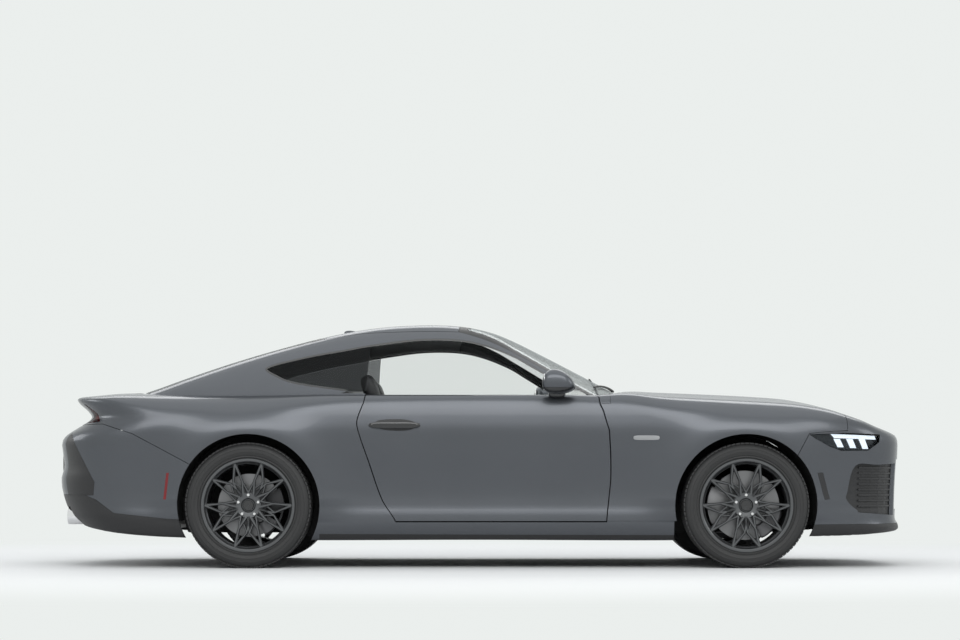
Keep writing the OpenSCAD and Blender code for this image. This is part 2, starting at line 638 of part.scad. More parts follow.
// ---------------------------------------------------------------- underbody
module liner(x, deep, step) skin() intersection() {
    difference() {
        arch_cut(x, arch_r + 12, py(480));
        arch_cut(x, arch_r + 7, 0);
        box(x - 600, x + 600, 0, 1200, -100, pz(256.5));
    }
    half_lower(deep = deep + 0.4, step = step, open = true);
}
module arch_liners() color(BLACK) both() {
    liner(front_axle_x, skin_t, 1);
    liner(rear_axle_x, wall_t, 2);
}
module both() {
    children();
    mirror([0, 1, 0]) children();
}

floor_t = 40;
rail_y = 360;
module floor_pan() color(TRIM) skin() both() difference() {
    intersection() {
        half_lower(deep = wall_t + 0.4, step = 2, open = true);
        union() {
            box(px(-1000), px(830), -1, 1200, pz(floor_z), pz(floor_z) + floor_t);
            box(px(-1000), px(830), -1, 150, pz(floor_z), pz(floor_z) + 230);
            box(px(800), px(830), -1, 1200, pz(floor_z), pz(925));
            box(px(-1000), px(-960), -1, 1200, pz(floor_z), pz(440));
            box(px(-2250), px(-960), -1, 1200, pz(410), pz(440));
            // Chassis rails and the beams behind the bumpers
            box(px(829), px(2290), rail_y - 30, rail_y + 30, 430, 530);
            box(px(2250), px(2290), -1, 800, 430, 530);
        }
    }
    // Exhaust and gearbox tunnel
    box(px(-1001), px(831), -2, 120, 0, pz(floor_z) + 200);
    arch_cut(rear_axle_x, arch_r + 12.4, py(480));
    arch_cut(front_axle_x, arch_r + 12.4, py(480));
}

// ---------------------------------------------------------------- suspension and steering
hub_in = 40;
front_pin_y = front_track / 2 - hub_in;
arm_drop = 132;
subframe_y = 330;
pin_r = 12;
spigot_r = 34;
pipe_r = 30;

module rod(from, to, r) {
    d = to - from;
    translate(from) rotate([0, acos(d[2] / norm(d)), atan2(d[1], d[0])]) cylinder(r = r, h = norm(d), $fn = 20);
}
// Lower and upper arms of a front corner, with the pins that the knuckle turns on
module front_arms() {
    for (s = [-1, 1]) {
        z = wheel_z + s * arm_drop;
        // Arms sit outside the knuckle's two ears
        difference() {
            union() {
                translate([front_axle_x, front_pin_y, z + s * 18]) cylinder(r = 24, h = 16, center = true);
                translate([front_axle_x - 110, subframe_y, z + s * 18 - 8]) linear_extrude(16)
                    polygon([[-30, 0], [250, 0], [128, front_pin_y - subframe_y + 14], [92, front_pin_y - subframe_y + 14]]);
            }
        }
        translate([front_axle_x, front_pin_y, min(z - s * 12, z + s * 18)]) cylinder(r = pin_r, h = 30);
    }
}
module front_subframe() color(BLACK) {
    both() {
        difference() {
            union() {
                translate([0, 0, 0]) front_arms();
                // Tower between the two arms, up to the chassis rail
                box(front_axle_x - 120, front_axle_x + 120, subframe_y - 60, subframe_y + 1, wheel_z - arm_drop - 26, wheel_z + arm_drop + 26);
                box(front_axle_x - 120, front_axle_x + 120, -1, subframe_y, wheel_z - arm_drop - 60, wheel_z - arm_drop - 8);
            }
            box(front_axle_x - 400, front_axle_x + 400, rail_y - 30.4, rail_y + 30.4, 429.6, 530.4);
        }
    }
}
// Steered upright with its ears, hub spigot and brake caliper; drawn for the left side
module knuckle() difference() {
    union() {
        translate([front_axle_x, front_pin_y, wheel_z]) {
            for (s = [-1, 1]) translate([0, 0, s * arm_drop]) {
                cylinder(r = 25, h = 19.4, center = true);
                translate([-20, -60, -9.7]) cube([40, 56, 19.4]);
            }
            translate([-34, -76, -arm_drop - 9.7]) cube([68, 30, 2 * arm_drop + 19.4]);
            rotate([-90, 0, 0]) translate([0, 0, -60]) cylinder(r = spigot_r + 14, h = 66);
            rotate([-90, 0, 0]) translate([0, 0, -60]) cylinder(r = spigot_r, h = 132);
            caliper(front_disc_d / 2, -1);
        }
    }
    for (s = [-1, 1]) translate([front_axle_x, front_pin_y, wheel_z + s * arm_drop])
        cylinder(r = pin_r + running_gap, h = 40, center = true);
}
// Caliper round the edge of a disc that lies between 30 and 60 outboard of the pin; side is -1 behind the axle
module caliper(r, side) {
    turn = side < 0 ? 150 : -30;
    difference() {
        rotate([-90, 0, 0]) translate([0, 0, 6]) rotate_extrude(angle = 60, start = turn) translate([r - 76, 0]) square([94, 76]);
        rotate([-90, 0, 0]) translate([0, 0, 24]) cylinder(r = r + 6, h = 42);
    }
    // Arm from the upright to the caliper
    rotate([-90, 0, 0]) translate([0, 0, -60]) rotate_extrude(angle = 36, start = turn + 12) translate([30, 0]) square([r - 90, 28]);
    rotate([-90, 0, 0]) translate([0, 0, -60]) rotate_extrude(angle = 36, start = turn + 12) translate([r - 76, 0]) square([36, 67]);
}
module front_left_knuckle() color(STEEL) knuckle();
module front_right_knuckle() color(STEEL) mirror([0, 1, 0]) knuckle();

// Rear subframe with its arms and hub carriers
module rear_subframe() color(BLACK) both() {
    rear_in = rear_track / 2 - hub_in;
    box(rear_axle_x - 150, rear_axle_x + 150, -1, 350, wheel_z - 100, wheel_z - 30);
    box(rear_axle_x - 150, rear_axle_x + 150, 290, 350, wheel_z - 31, pz(410) - 0.4);
    translate([rear_axle_x, 0, wheel_z]) {
        for (z = [-120, 30]) translate([-40, 345, z]) cube([80, rear_in - 60 - 345, 26]);
        translate([-40, rear_in - 84, -130]) cube([80, 40, 200]);
        rotate([-90, 0, 0]) translate([0, 0, rear_in - 60]) cylinder(r = spigot_r + 14, h = 66);
        rotate([-90, 0, 0]) translate([0, 0, rear_in - 60]) cylinder(r = spigot_r, h = 132);
        translate([0, rear_in, 0]) caliper(rear_disc_d / 2, 1);
    }
}

// ---------------------------------------------------------------- wheels
rim_r = rim_d / 2;
barrel_r = rim_r - 32;
rim_w = tyre_w - 26;
module on_axle(x, track, side) translate([x, side * track / 2, wheel_z]) rotate([side < 0 ? 90 : -90, 0, 0]) children();
// Half section of a tyre, with its beads on the rim
module tyre() color(RUBBER) rotate_extrude($fn = 96) polygon([
    [rim_r - 12, -tyre_w / 2 + 14], [rim_r - 0.6, -tyre_w / 2 + 14], [rim_r + 4, -tyre_w / 2 + 9], [rim_r + 40, -tyre_w / 2], [tyre_d / 2 - 26, -tyre_w / 2 + 6],
    [tyre_d / 2 - 8, -tyre_w / 2 + 20], [tyre_d / 2, -tyre_w / 2 + 44], [tyre_d / 2, tyre_w / 2 - 44],
    [tyre_d / 2 - 8, tyre_w / 2 - 20], [tyre_d / 2 - 26, tyre_w / 2 - 6], [rim_r + 40, tyre_w / 2],
    [rim_r + 4, tyre_w / 2 - 9], [rim_r - 0.6, tyre_w / 2 - 14], [rim_r - 12, tyre_w / 2 - 14], [rim_r - 12, tyre_w / 2 - 36], [rim_r + 24, tyre_w / 2 - 34],
    [tyre_d / 2 - 20, tyre_w / 2 - 46], [tyre_d / 2 - 20, -tyre_w / 2 + 46], [rim_r + 24, -tyre_w / 2 + 34],
    [rim_r - 12, -tyre_w / 2 + 36]]);
// Alloy rim with ten spoke ends, the hub and the brake disc behind it
module rim(disc_d) color(ALLOY) {
    difference() {
        union() {
            rotate_extrude($fn = 96) polygon([
                [rim_r - 34, -rim_w / 2 - 1], [rim_r - 1, -rim_w / 2 - 1], [rim_r - 1, -rim_w / 2 + 0.6], [rim_r - 12.4, -rim_w / 2 + 0.6],
                [rim_r - 12.4, -rim_w / 2 + 24], [barrel_r + 6, -rim_w / 2 + 34], [barrel_r + 6, rim_w / 2 - 34],
                [rim_r - 12.4, rim_w / 2 - 24], [rim_r - 12.4, rim_w / 2 - 0.6], [rim_r - 1, rim_w / 2 - 0.6],
                [rim_r - 1, rim_w / 2 + 1], [rim_r - 20, rim_w / 2 + 1], [barrel_r, rim_w / 2 - 24], [barrel_r, -rim_w / 2 + 30],
                [rim_r - 34, -rim_w / 2 + 14]]);
            translate([0, 0, 36]) cylinder(r = 78, h = 40);
            for (i = [0:9]) rotate(i * 36 + 18 + 90) translate([60, -10, rim_w / 2 - 54])
                rotate([0, -4, 0]) cube([rim_r - 78, 20, 30]);
        }
        translate([0, 0, -100]) cylinder(r = spigot_r + running_gap, h = 133);
        for (i = [0:4]) rotate(i * 72 + 90) translate([57.15, 0, 58]) cylinder(r = 15, h = 60);
        translate([0, 0, -rim_w]) difference() { cylinder(r = rim_r + 60, h = 3 * rim_w); translate([0, 0, -1]) cylinder(r = rim_r - 0.9, h = 4 * rim_w); }
    }
    // Brake disc and its hat
    difference() {
        union() {
            translate([0, 0, 30 - hub_in]) cylinder(r = disc_d / 2, h = 30);
            translate([0, 0, 30 - hub_in]) cylinder(r = 84, h = 56);
        }
        translate([0, 0, -100]) cylinder(r = spigot_r + running_gap, h = 133);
        translate([0, 0, 29 - hub_in]) cylinder(r = 68, h = 34);
    }
}
module front_left_rim() on_axle(front_axle_x, front_track, 1) rim(front_disc_d);
module front_right_rim() on_axle(front_axle_x, front_track, -1) rim(front_disc_d);
module rear_left_rim() on_axle(rear_axle_x, rear_track, 1) rim(rear_disc_d);
module rear_right_rim() on_axle(rear_axle_x, rear_track, -1) rim(rear_disc_d);
module front_left_tyre() on_axle(front_axle_x, front_track, 1) tyre();
module front_right_tyre() on_axle(front_axle_x, front_track, -1) tyre();
module rear_left_tyre() on_axle(rear_axle_x, rear_track, 1) tyre();
module rear_right_tyre() on_axle(rear_axle_x, rear_track, -1) tyre();

// ---------------------------------------------------------------- engine and exhaust
module engine() color(STEEL) {
    // Block on its two feet, with the gearbox behind it
    box(front_axle_x - 420, front_axle_x + 180, -250, 250, wheel_z + 10, pz(820));
    box(front_axle_x - 100, front_axle_x + 100, -200, 200, wheel_z - arm_drop - 7.7, wheel_z + 11);
    box(front_axle_x - 900, front_axle_x - 419, -100, 100, pz(floor_z) + 30, wheel_z + 20);
}
module exhaust() color(STEEL) {
    z = pz(floor_z) + 110;
    difference() {
        union() {
            // Hung under the trunk floor by the muffler
            box(px(-2120), px(-1780), -560, 560, z - 80, pz(410) - 0.4);
            both() {
                rod([px(-1780) - 5, 60, z - 20], [px(-900), 60, z - 60], pipe_r);
                translate([px(-900), 60, z - 60]) sphere(r = pipe_r);
                rod([px(-900), 60, z - 60], [px(540), 60, z - 60], pipe_r);
                for (y = [430, 530]) rod([px(-2110), py(y), z], [px(-2305), py(y), z], 44);
            }
        }
        both() for (y = [430, 530]) rod([px(-2180), py(y), z], [px(-2400), py(y), z], 39);
        box(rear_axle_x - 160, rear_axle_x + 160, -700, 700, wheel_z - 101, pz(420));
    }
}

// ---------------------------------------------------------------- cabin
seat_y = 402;
floor_top = pz(floor_z) + floor_t;
// A seat: cushion on runners, back and head rest
module seat() {
    difference() {
        union() {
            for (y = [-180, 150]) box(-230, 230, y, y + 30, 0, 61);
            box(-250, 260, -250, 250, 60, 210);
            translate([-215, 0, 120]) rotate([0, -20, 0]) {
                box(-60, 60, -240, 240, 0, 620);
                box(-50, 40, -130, 130, 610, 800);
            }
        }
        // Dished cushion and back
        box(-160, 400, -170, 170, 185, 400);
        translate([-215, 0, 120]) rotate([0, -20, 0]) box(36, 200, -170, 170, 80, 560);
    }
}
module driver_seat() color(LEATHER) translate([px(-160), py(seat_y), floor_top + 0.3]) seat();
module passenger_seat() color(LEATHER) translate([px(-160), -py(seat_y), floor_top + 0.3]) seat();
module rear_seat() color(LEATHER) difference() {
    union() {
        box(px(-940), px(-740), -py(480), py(480), floor_top + 0.3, pz(470));
        translate([px(-955), 0, floor_top + 120]) rotate([0, -24, 0]) box(-60, 70, -py(480), py(480), 0, 560);
    }
    box(px(-1400), px(-959.6), -900, 900, 0, pz(440));
    box(px(-2000), px(-900), -900, 900, 0, pz(440) + 0.3);
    box(px(-1000), px(-700), -150.3, 150.3, 0, pz(floor_z) + 230.3);
}
module parcel_shelf() color(TRIM) skin() both() intersection() {
    union() {
        half_lower(deep = 30, step = 2, open = true);
        half_upper(deep = roof_t + 0.4, step = 2);
    }
    box(px(-1900), px(-1290), -1, py(499.6), pz(870), pz(900));
}

column = [px(560), py(seat_y), pz(800)];
tilt = 22;
wheel_gap = 110;
module dashboard() color(TRIM) {
    difference() {
        union() {
            box(px(520), px(799.6), -py(630), py(630), pz(640), pz(880));
            // Console down the middle to between the seats
            box(px(-480), px(700), -120, 120, pz(floor_z) + 230.3, pz(520));
            box(px(500), px(700), -120, 120, pz(519), pz(700));
        }
        box(px(500), px(560), -py(620), -py(180), pz(600), pz(760));
    }
    translate(column) rotate([0, -90 + tilt - 0, 0]) translate([0, 0, -40]) cylinder(r = 20, h = 40 + wheel_gap);
}
// Ring, three spokes and boss, turning on the end of the column
module steering_wheel() color(LEATHER) translate(column) rotate([0, -90 + tilt, 0]) translate([0, 0, wheel_gap]) {
    rotate_extrude() translate([steering_wheel_d / 2 - 15, 22]) circle(r = 15, $fn = 24);
    difference() {
        union() {
            translate([0, 0, -20]) cylinder(r = 45, h = 50);
            for (a = [90, 270, 180]) rotate(a) translate([30, -18, 12]) cube([steering_wheel_d / 2 - 50, 36, 14]);
        }
        translate([0, 0, -21]) cylinder(r = 20 + running_gap, h = 21 + 0.3);
    }
}

// ---------------------------------------------------------------- the parts drawn

floor_pan();
left_body_side();
right_body_side();
roof();
windshield();
rear_window();
quarter_windows();
left_fender();
right_fender();
front_bumper();
grille();
headlamps();
rear_bumper();
plate_holder();
tail_lamps();
arch_liners();
cowl();
hood();
trunk_lid();
left_door();
right_door();
left_door_glass();
right_door_glass();
left_mirror();
right_mirror();
front_subframe();
rear_subframe();
engine();
exhaust();
driver_seat();
passenger_seat();
rear_seat();
parcel_shelf();
dashboard();
steering_wheel();
front_left_knuckle();
front_right_knuckle();
front_left_rim();
front_left_tyre();
front_right_rim();
front_right_tyre();
rear_left_rim();
rear_left_tyre();
rear_right_rim();
rear_right_tyre();
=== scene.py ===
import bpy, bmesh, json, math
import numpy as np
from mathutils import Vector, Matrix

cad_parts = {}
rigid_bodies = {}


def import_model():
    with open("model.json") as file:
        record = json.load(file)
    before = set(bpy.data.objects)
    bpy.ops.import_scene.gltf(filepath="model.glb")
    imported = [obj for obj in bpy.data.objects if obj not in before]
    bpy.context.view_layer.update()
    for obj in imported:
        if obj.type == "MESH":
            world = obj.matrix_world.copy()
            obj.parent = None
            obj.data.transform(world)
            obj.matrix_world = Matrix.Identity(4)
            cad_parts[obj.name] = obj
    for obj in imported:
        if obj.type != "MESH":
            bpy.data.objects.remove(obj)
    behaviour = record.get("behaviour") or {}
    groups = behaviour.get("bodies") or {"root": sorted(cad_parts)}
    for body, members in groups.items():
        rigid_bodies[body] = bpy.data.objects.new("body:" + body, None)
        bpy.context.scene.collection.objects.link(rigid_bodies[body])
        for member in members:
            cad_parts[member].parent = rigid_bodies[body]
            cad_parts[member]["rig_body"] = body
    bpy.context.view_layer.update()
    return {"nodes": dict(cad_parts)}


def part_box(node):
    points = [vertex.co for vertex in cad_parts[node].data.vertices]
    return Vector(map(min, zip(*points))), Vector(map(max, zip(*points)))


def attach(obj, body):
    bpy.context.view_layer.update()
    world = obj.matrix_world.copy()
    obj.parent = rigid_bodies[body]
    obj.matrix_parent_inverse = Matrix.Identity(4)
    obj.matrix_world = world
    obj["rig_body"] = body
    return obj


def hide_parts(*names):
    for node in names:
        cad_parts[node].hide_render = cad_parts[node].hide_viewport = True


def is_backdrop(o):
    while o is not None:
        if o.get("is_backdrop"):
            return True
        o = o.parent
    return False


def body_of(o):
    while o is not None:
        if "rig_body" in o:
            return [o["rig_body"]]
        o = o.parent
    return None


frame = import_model()

# %% [markdown]
# A two-door fastback coupe, finished from its imported frame. The frame gives every body, joint
# and size. This lesson adds the surface that a person sees: smooth panels, glass, lamps, wheels
# and a trimmed cabin.

# %% Scene and units
scene = bpy.context.scene
scene.view_settings.view_transform = "Standard"
MM = 0.001                # every length below is in millimetres

# %% [markdown]
# The camera stands level with the car's wheels, a long way off its right side, as for a
# catalogue picture: a long lens keeps the two wheels the same size. A small shift lowers the car
# in the picture while the camera stays level, so upright lines stay upright.

# %% Camera
camera = bpy.data.objects.new("camera", bpy.data.cameras.new("camera"))
scene.collection.objects.link(camera)
camera.location = (0, -13.45, 0.45)
camera.rotation_euler = (math.radians(90), 0, 0)
camera.data.sensor_width = 36
camera.data.lens = 86.2
camera.data.shift_y = 0.1727
scene.camera = camera

# %% [markdown]
# Shader maths reads best as ordinary sums. `Sock` wraps one output of a node, and +, -, * and **
# on it add Math nodes. `Mat.node` makes every other node, from its type, its settings and the
# values or links of its sockets, so a material below is a few lines of Python.

# %% Shader helpers
class Sock:
    def __init__(self, mat, out):
        self.mat, self.out = mat, out
    def _math(self, op, a, b):
        return self.mat.node("ShaderNodeMath", {"operation": op}, {0: a, 1: b})
    def __add__(self, o):
        return self._math("ADD", self, o)
    def __radd__(self, o):
        return self._math("ADD", o, self)
    def __sub__(self, o):
        return self._math("SUBTRACT", self, o)
    def __mul__(self, o):
        return self._math("MULTIPLY", self, o)
    def __pow__(self, o):
        return self._math("POWER", self, o)
    def most(self, o):
        return self._math("MAXIMUM", self, o)

class Mat:
    def __init__(self, name):
        self.m = bpy.data.materials.new(name)
        self.m.use_nodes = True
        self.t = self.m.node_tree
        self.t.nodes.clear()
        self.out = self.t.nodes.new("ShaderNodeOutputMaterial")
    def node(self, kind, settings=None, inputs=None, out=0):
        n = self.t.nodes.new(kind)
        for k, v in (settings or {}).items():
            setattr(n, k, v)
        for k, v in (inputs or {}).items():
            if isinstance(v, Sock):
                self.t.links.new(v.out, n.inputs[k])
            elif v is not None:
                s = n.inputs[k]
                wide = hasattr(s.default_value, "__len__") and len(s.default_value) == 4
                s.default_value = (*v, 1) if wide and len(v) == 3 else v
        return Sock(self, n.outputs[out])
    def place(self):
        return self.node("ShaderNodeMapping", {}, {0: self.node("ShaderNodeTexCoord", out="Object")})
    def axis(self, which):
        return self.node("ShaderNodeSeparateXYZ", {}, {0: self.place()}, out=which)
    def noise(self, scale, detail=2.0, rough=0.5):
        return self.node("ShaderNodeTexNoise", {}, {"Vector": self.place(), "Scale": scale,
            "Detail": detail, "Roughness": rough})
    def blend(self, fac, a, b):
        return self.node("ShaderNodeMix", {"data_type": "RGBA"}, {0: fac, 6: a, 7: b}, out=2)
    def bump(self, height, strength=0.3, distance=0.001):
        return self.node("ShaderNodeBump", {}, {"Strength": strength, "Distance": distance,
            "Height": height})
    def finish(self, **sockets):
        names = {k: k.replace("_", " ") for k in sockets}
        shader = self.node("ShaderNodeBsdfPrincipled", {}, {names[k]: v for k, v in sockets.items()})
        self.t.links.new(shader.out, self.out.inputs[0])
        return self.m
print("shader helpers ready")

# %% [markdown]
# Car paint is three layers: a dark base, fine aluminium flakes that make it sparkle and turn
# lighter where light strikes straight on, and a clear coat with a faint ripple. Here the flakes
# are a fine noise in colour and roughness, and the coat is the shader's own coat.

# %% Body paint
def paint(name, base, light):
    m = Mat(name)
    flake = m.noise(2600, 1.0, 0.6)
    cloud = m.noise(3.0, 2.0)
    mix = m.blend((flake - 0.35) * 1.5, base, light)
    tint = m.blend(cloud * 0.10, mix, (0.20, 0.21, 0.235))
    ripple = m.bump(m.noise(420, 1.0), 0.025, 0.0004)
    dust = m.noise(9, 4.0, 0.6)
    return m.finish(Base_Color=tint, Metallic=0.75, Roughness=0.34 + (flake - 0.5) * 0.08 + dust * 0.03,
        Coat_Weight=0.5, Specular_Tint=(0.4, 0.41, 0.43), Coat_IOR=1.36, Coat_Roughness=0.09, Normal=ripple)
PAINT = paint("body_paint", (0.075, 0.08, 0.089), (0.125, 0.132, 0.146))

# %% [markdown]
# Unpainted outer plastic is near black with a fine pebble grain, and piano-black trim is the same
# plastic polished. Grain is a small Voronoi bump; a slow noise in the roughness keeps a large
# part from looking printed.

# %% Plastics and rubber
def plastic(name, colour, rough, grain=900, depth=0.25, coat=0.0):
    m = Mat(name)
    cells = m.node("ShaderNodeTexVoronoi", {}, {"Vector": m.place(), "Scale": grain})
    wear = m.noise(14, 4.0, 0.6)
    lighter = tuple(min(1, c * 1.6 + 0.006) for c in colour)
    return m.finish(Base_Color=m.blend(wear * 0.5, colour, lighter), Roughness=rough + (wear - 0.5) * 0.12,
                    Coat_Weight=coat, Coat_Roughness=0.05, Normal=m.bump(cells, depth, 0.0004))
BLACK = plastic("black_plastic", (0.012, 0.012, 0.013), 0.52)
GLOSS = plastic("gloss_black", (0.008, 0.008, 0.009), 0.18, 1500, 0.03, 0.6)
LINER = plastic("arch_liner", (0.010, 0.010, 0.010), 0.9, 260, 0.8)
TRIM = plastic("cabin_trim", (0.020, 0.020, 0.022), 0.6, 700, 0.5)
print("paint and plastics ready")

# %% [markdown]
# Window glass is clear with a light grey tint. Thin clear glass is best made as a mix of a
# see-through shader and a mirror-like one, because real refraction through two close faces
# only adds noise. The Layer Weight node makes it mirror more at grazing angles, as glass does,
# and it gives the same answer on both faces of a pane.

# %% Glass and lenses
def glass(name, tint, rough=0.0, extra=0.0):
    m = Mat(name)
    m.m.use_transparent_shadow = True
    clear = m.node("ShaderNodeBsdfTransparent", {}, {0: tint})
    streak = m.noise(7, 3.0, 0.5)
    gloss = m.node("ShaderNodeBsdfAnisotropic", {}, {"Color": (0.50, 0.52, 0.53),
        "Roughness": rough + streak * 0.03})
    edge = m.node("ShaderNodeLayerWeight", {}, {"Blend": 0.5}, out="Facing")
    mirror = edge ** 5 * 0.6 + (0.006 + extra)
    mix = m.node("ShaderNodeMixShader", {}, {0: mirror, 1: clear, 2: gloss})
    m.t.links.new(mix.out, m.out.inputs[0])
    return m.m
GLASS = glass("window_glass", (0.955, 0.96, 0.958))
DARK_GLASS = glass("dark_glass", (0.42, 0.425, 0.43), 0.0, 0.01)
LENS = glass("clear_lens", (0.86, 0.88, 0.9))
print("glass ready")

# %% [markdown]
# The body is one smooth shape whose side, top, nose and tail each follow a few drawn lines. Each
# line is a handful of points joined by a smooth curve, and two surfaces meet in a soft edge.
# Points are pushed out from a spine until they reach the shape, which gives an even skin.

# %% Smooth curves and soft edges
def curve(points, x):
    p = np.array(points, float)
    x = np.clip(np.asarray(x, float), p[0, 0], p[-1, 0])
    i = np.clip(np.searchsorted(p[:, 0], x, side="right") - 1, 0, len(p) - 2)
    lo, hi = np.maximum(np.arange(len(p)) - 1, 0), np.minimum(np.arange(len(p)) + 1, len(p) - 1)
    slope = (p[hi, 1] - p[lo, 1]) / (p[hi, 0] - p[lo, 0])
    h = p[i + 1, 0] - p[i, 0]
    t = (x - p[i, 0]) / h
    u = 1 - t
    return u*u*(1+2*t)*p[i, 1] + t*t*(3-2*t)*p[i+1, 1] + h*(t*u*u*slope[i] - t*t*u*slope[i+1])
def soft_max(a, b, r):
    h = np.maximum(r - np.abs(a - b), 0) / r
    return np.maximum(a, b) + h**3 * r / 6

# %% [markdown]
# These are the car's drawn lines, in millimetres: how wide the shoulder is, how far the side
# tucks in at each height, the height along the middle, and the nose and tail seen from the side.

# %% Lines of the body
SHOULDER = [[-2406, 850], [-2000, 900], [-1600, 922], [-1265, 928], [-800, 915], [-300, 905], [200, 905],
    [700, 915], [1100, 922], [1454, 925], [1900, 912], [2406, 870]]
TUCK = [[100, 95], [150, 66], [190, 46], [240, 34], [290, 34], [340, 42], [420, 44], [520, 32], [620, 15],
    [700, 4], [760, 0], [820, 5], [880, 15], [930, 30], [980, 48], [1050, 75]]
CENTRE = [[-2406, 950], [-2320, 957], [-2200, 968], [-2000, 984], [-1700, 980], [-1200, 965], [-600, 955],
    [0, 952], [600, 962], [800, 985], [1000, 978], [1300, 966], [1560, 953], [1750, 938], [1925, 908],
    [2053, 868], [2123, 843], [2192, 812], [2262, 785], [2332, 762], [2406, 745]]
HEM = [[-2406, 262], [-2200, 222], [-2000, 190], [-1700, 168], [-900, 150], [0, 150], [1000, 150],
    [1800, 172], [2100, 180], [2406, 203]]
NOSE = [[100, 2300], [160, 2350], [203, 2396], [236, 2395], [262, 2380], [320, 2380], [500, 2386],
    [640, 2394], [720, 2394], [800, 2380], [1000, 2380]]
TAIL = [[100, 2220], [232, 2290], [290, 2345], [400, 2388], [490, 2400], [560, 2384], [640, 2392],
    [695, 2396], [735, 2370], [780, 2300], [830, 2230], [870, 2248], [920, 2306], [955, 2338], [1100, 2338]]
CREST = [[-2406, 70], [-2150, 110], [-1700, 220], [-1265, 230], [-700, 80], [600, 70], [1300, 180],
    [1900, 170], [2200, 110], [2406, 60]]
CROWN = [[-2406, 34], [-1700, 30], [-1200, 12], [-800, 4], [400, 4], [800, 22], [1100, 34], [2406, 34]]
ROOF = [[-2060, 940], [-1960, 975], [-1850, 1012], [-1690, 1070], [-1415, 1162], [-1139, 1243],
    [-863, 1312], [-587, 1356], [-311, 1372], [-100, 1366], [60, 1338], [185, 1292], [334, 1219],
    [476, 1146], [614, 1074], [751, 1002], [830, 958], [900, 920]]
SILL_LINE = [[-2060, 590], [-1900, 630], [-1400, 735], [-900, 802], [-400, 830], [200, 832], [600, 812],
    [900, 725]]
FRONT_AXLE, REAR_AXLE, WHEEL_Z, FLARE = 1454.5, -1265.5, 343, 30
ARCH_R, SPINE_Z, GLASS_Z, DOME = 389, 500.0, 850.0, 14
    # wheel arch, hearts of the two shapes, hood bulge

# %% The two body shapes, below zero inside
def bulge(x, z, axle):
    r = np.hypot(x - axle, z - WHEEL_Z)
    swell = FLARE * np.exp(-(np.maximum(r - 385, 0) / 125)**2)
    return np.where(z < 250, 0, swell * np.clip((z - 250) / 120, 0, 1))
def side_y(x, z):
    return curve(SHOULDER, x) - curve(TUCK, z) + bulge(x, z, FRONT_AXLE) + bulge(x, z, REAR_AXLE)
def sweep(y):
    return 0.00014 * y * y + 70 * (np.abs(y) / 850)**4
def dome(x, y):
    ends = np.clip((2250 - x) / 500, 0, 1) * np.clip((x - 700) / 200, 0, 1)
    return DOME * np.exp(-(y / 300)**4) * ends
def top_z(x, y):
    return curve(CENTRE, x) - curve(CROWN, x) * (y / 720)**2 + dome(x, y)
def lower(x, y, z, hem=True):
    y = np.abs(y)
    ends = np.maximum(x - curve(NOSE, z), -x - curve(TAIL, z)) + sweep(y)
    hull = soft_max(soft_max(y - side_y(x, z), ends, 420), z - top_z(x, y), curve(CREST, x))
    return soft_max(hull, curve(HEM, x) - z, 30) if hem else hull
def roof_z(x, y):
    f = np.clip((x + 900) / 1100, 0, 1)
    back = x + (0.00028 * f - 0.00018 * (1 - f)) * y * y
    return curve(ROOF, np.clip(back, -2060, 900)) - 26 * (y / 600)**2
def glass_y(x, z):
    return curve(SILL_LINE, x) - 0.55 * (z - 955) - 0.0006 * np.maximum(z - 955, 0)**2
def upper(x, y, z):
    return soft_max(np.abs(y) - glass_y(x, z), z - roof_z(x, y), 130)
print("width at the rear arch", 2 * float(side_y(-1265.0, 740.0)))

# %% [markdown]
# Each half of the body is a closed shell of points on rays, first on the left side, so that any
# panel can be cut from it cleanly. Deeper shells, inside the first, give the panels thickness.

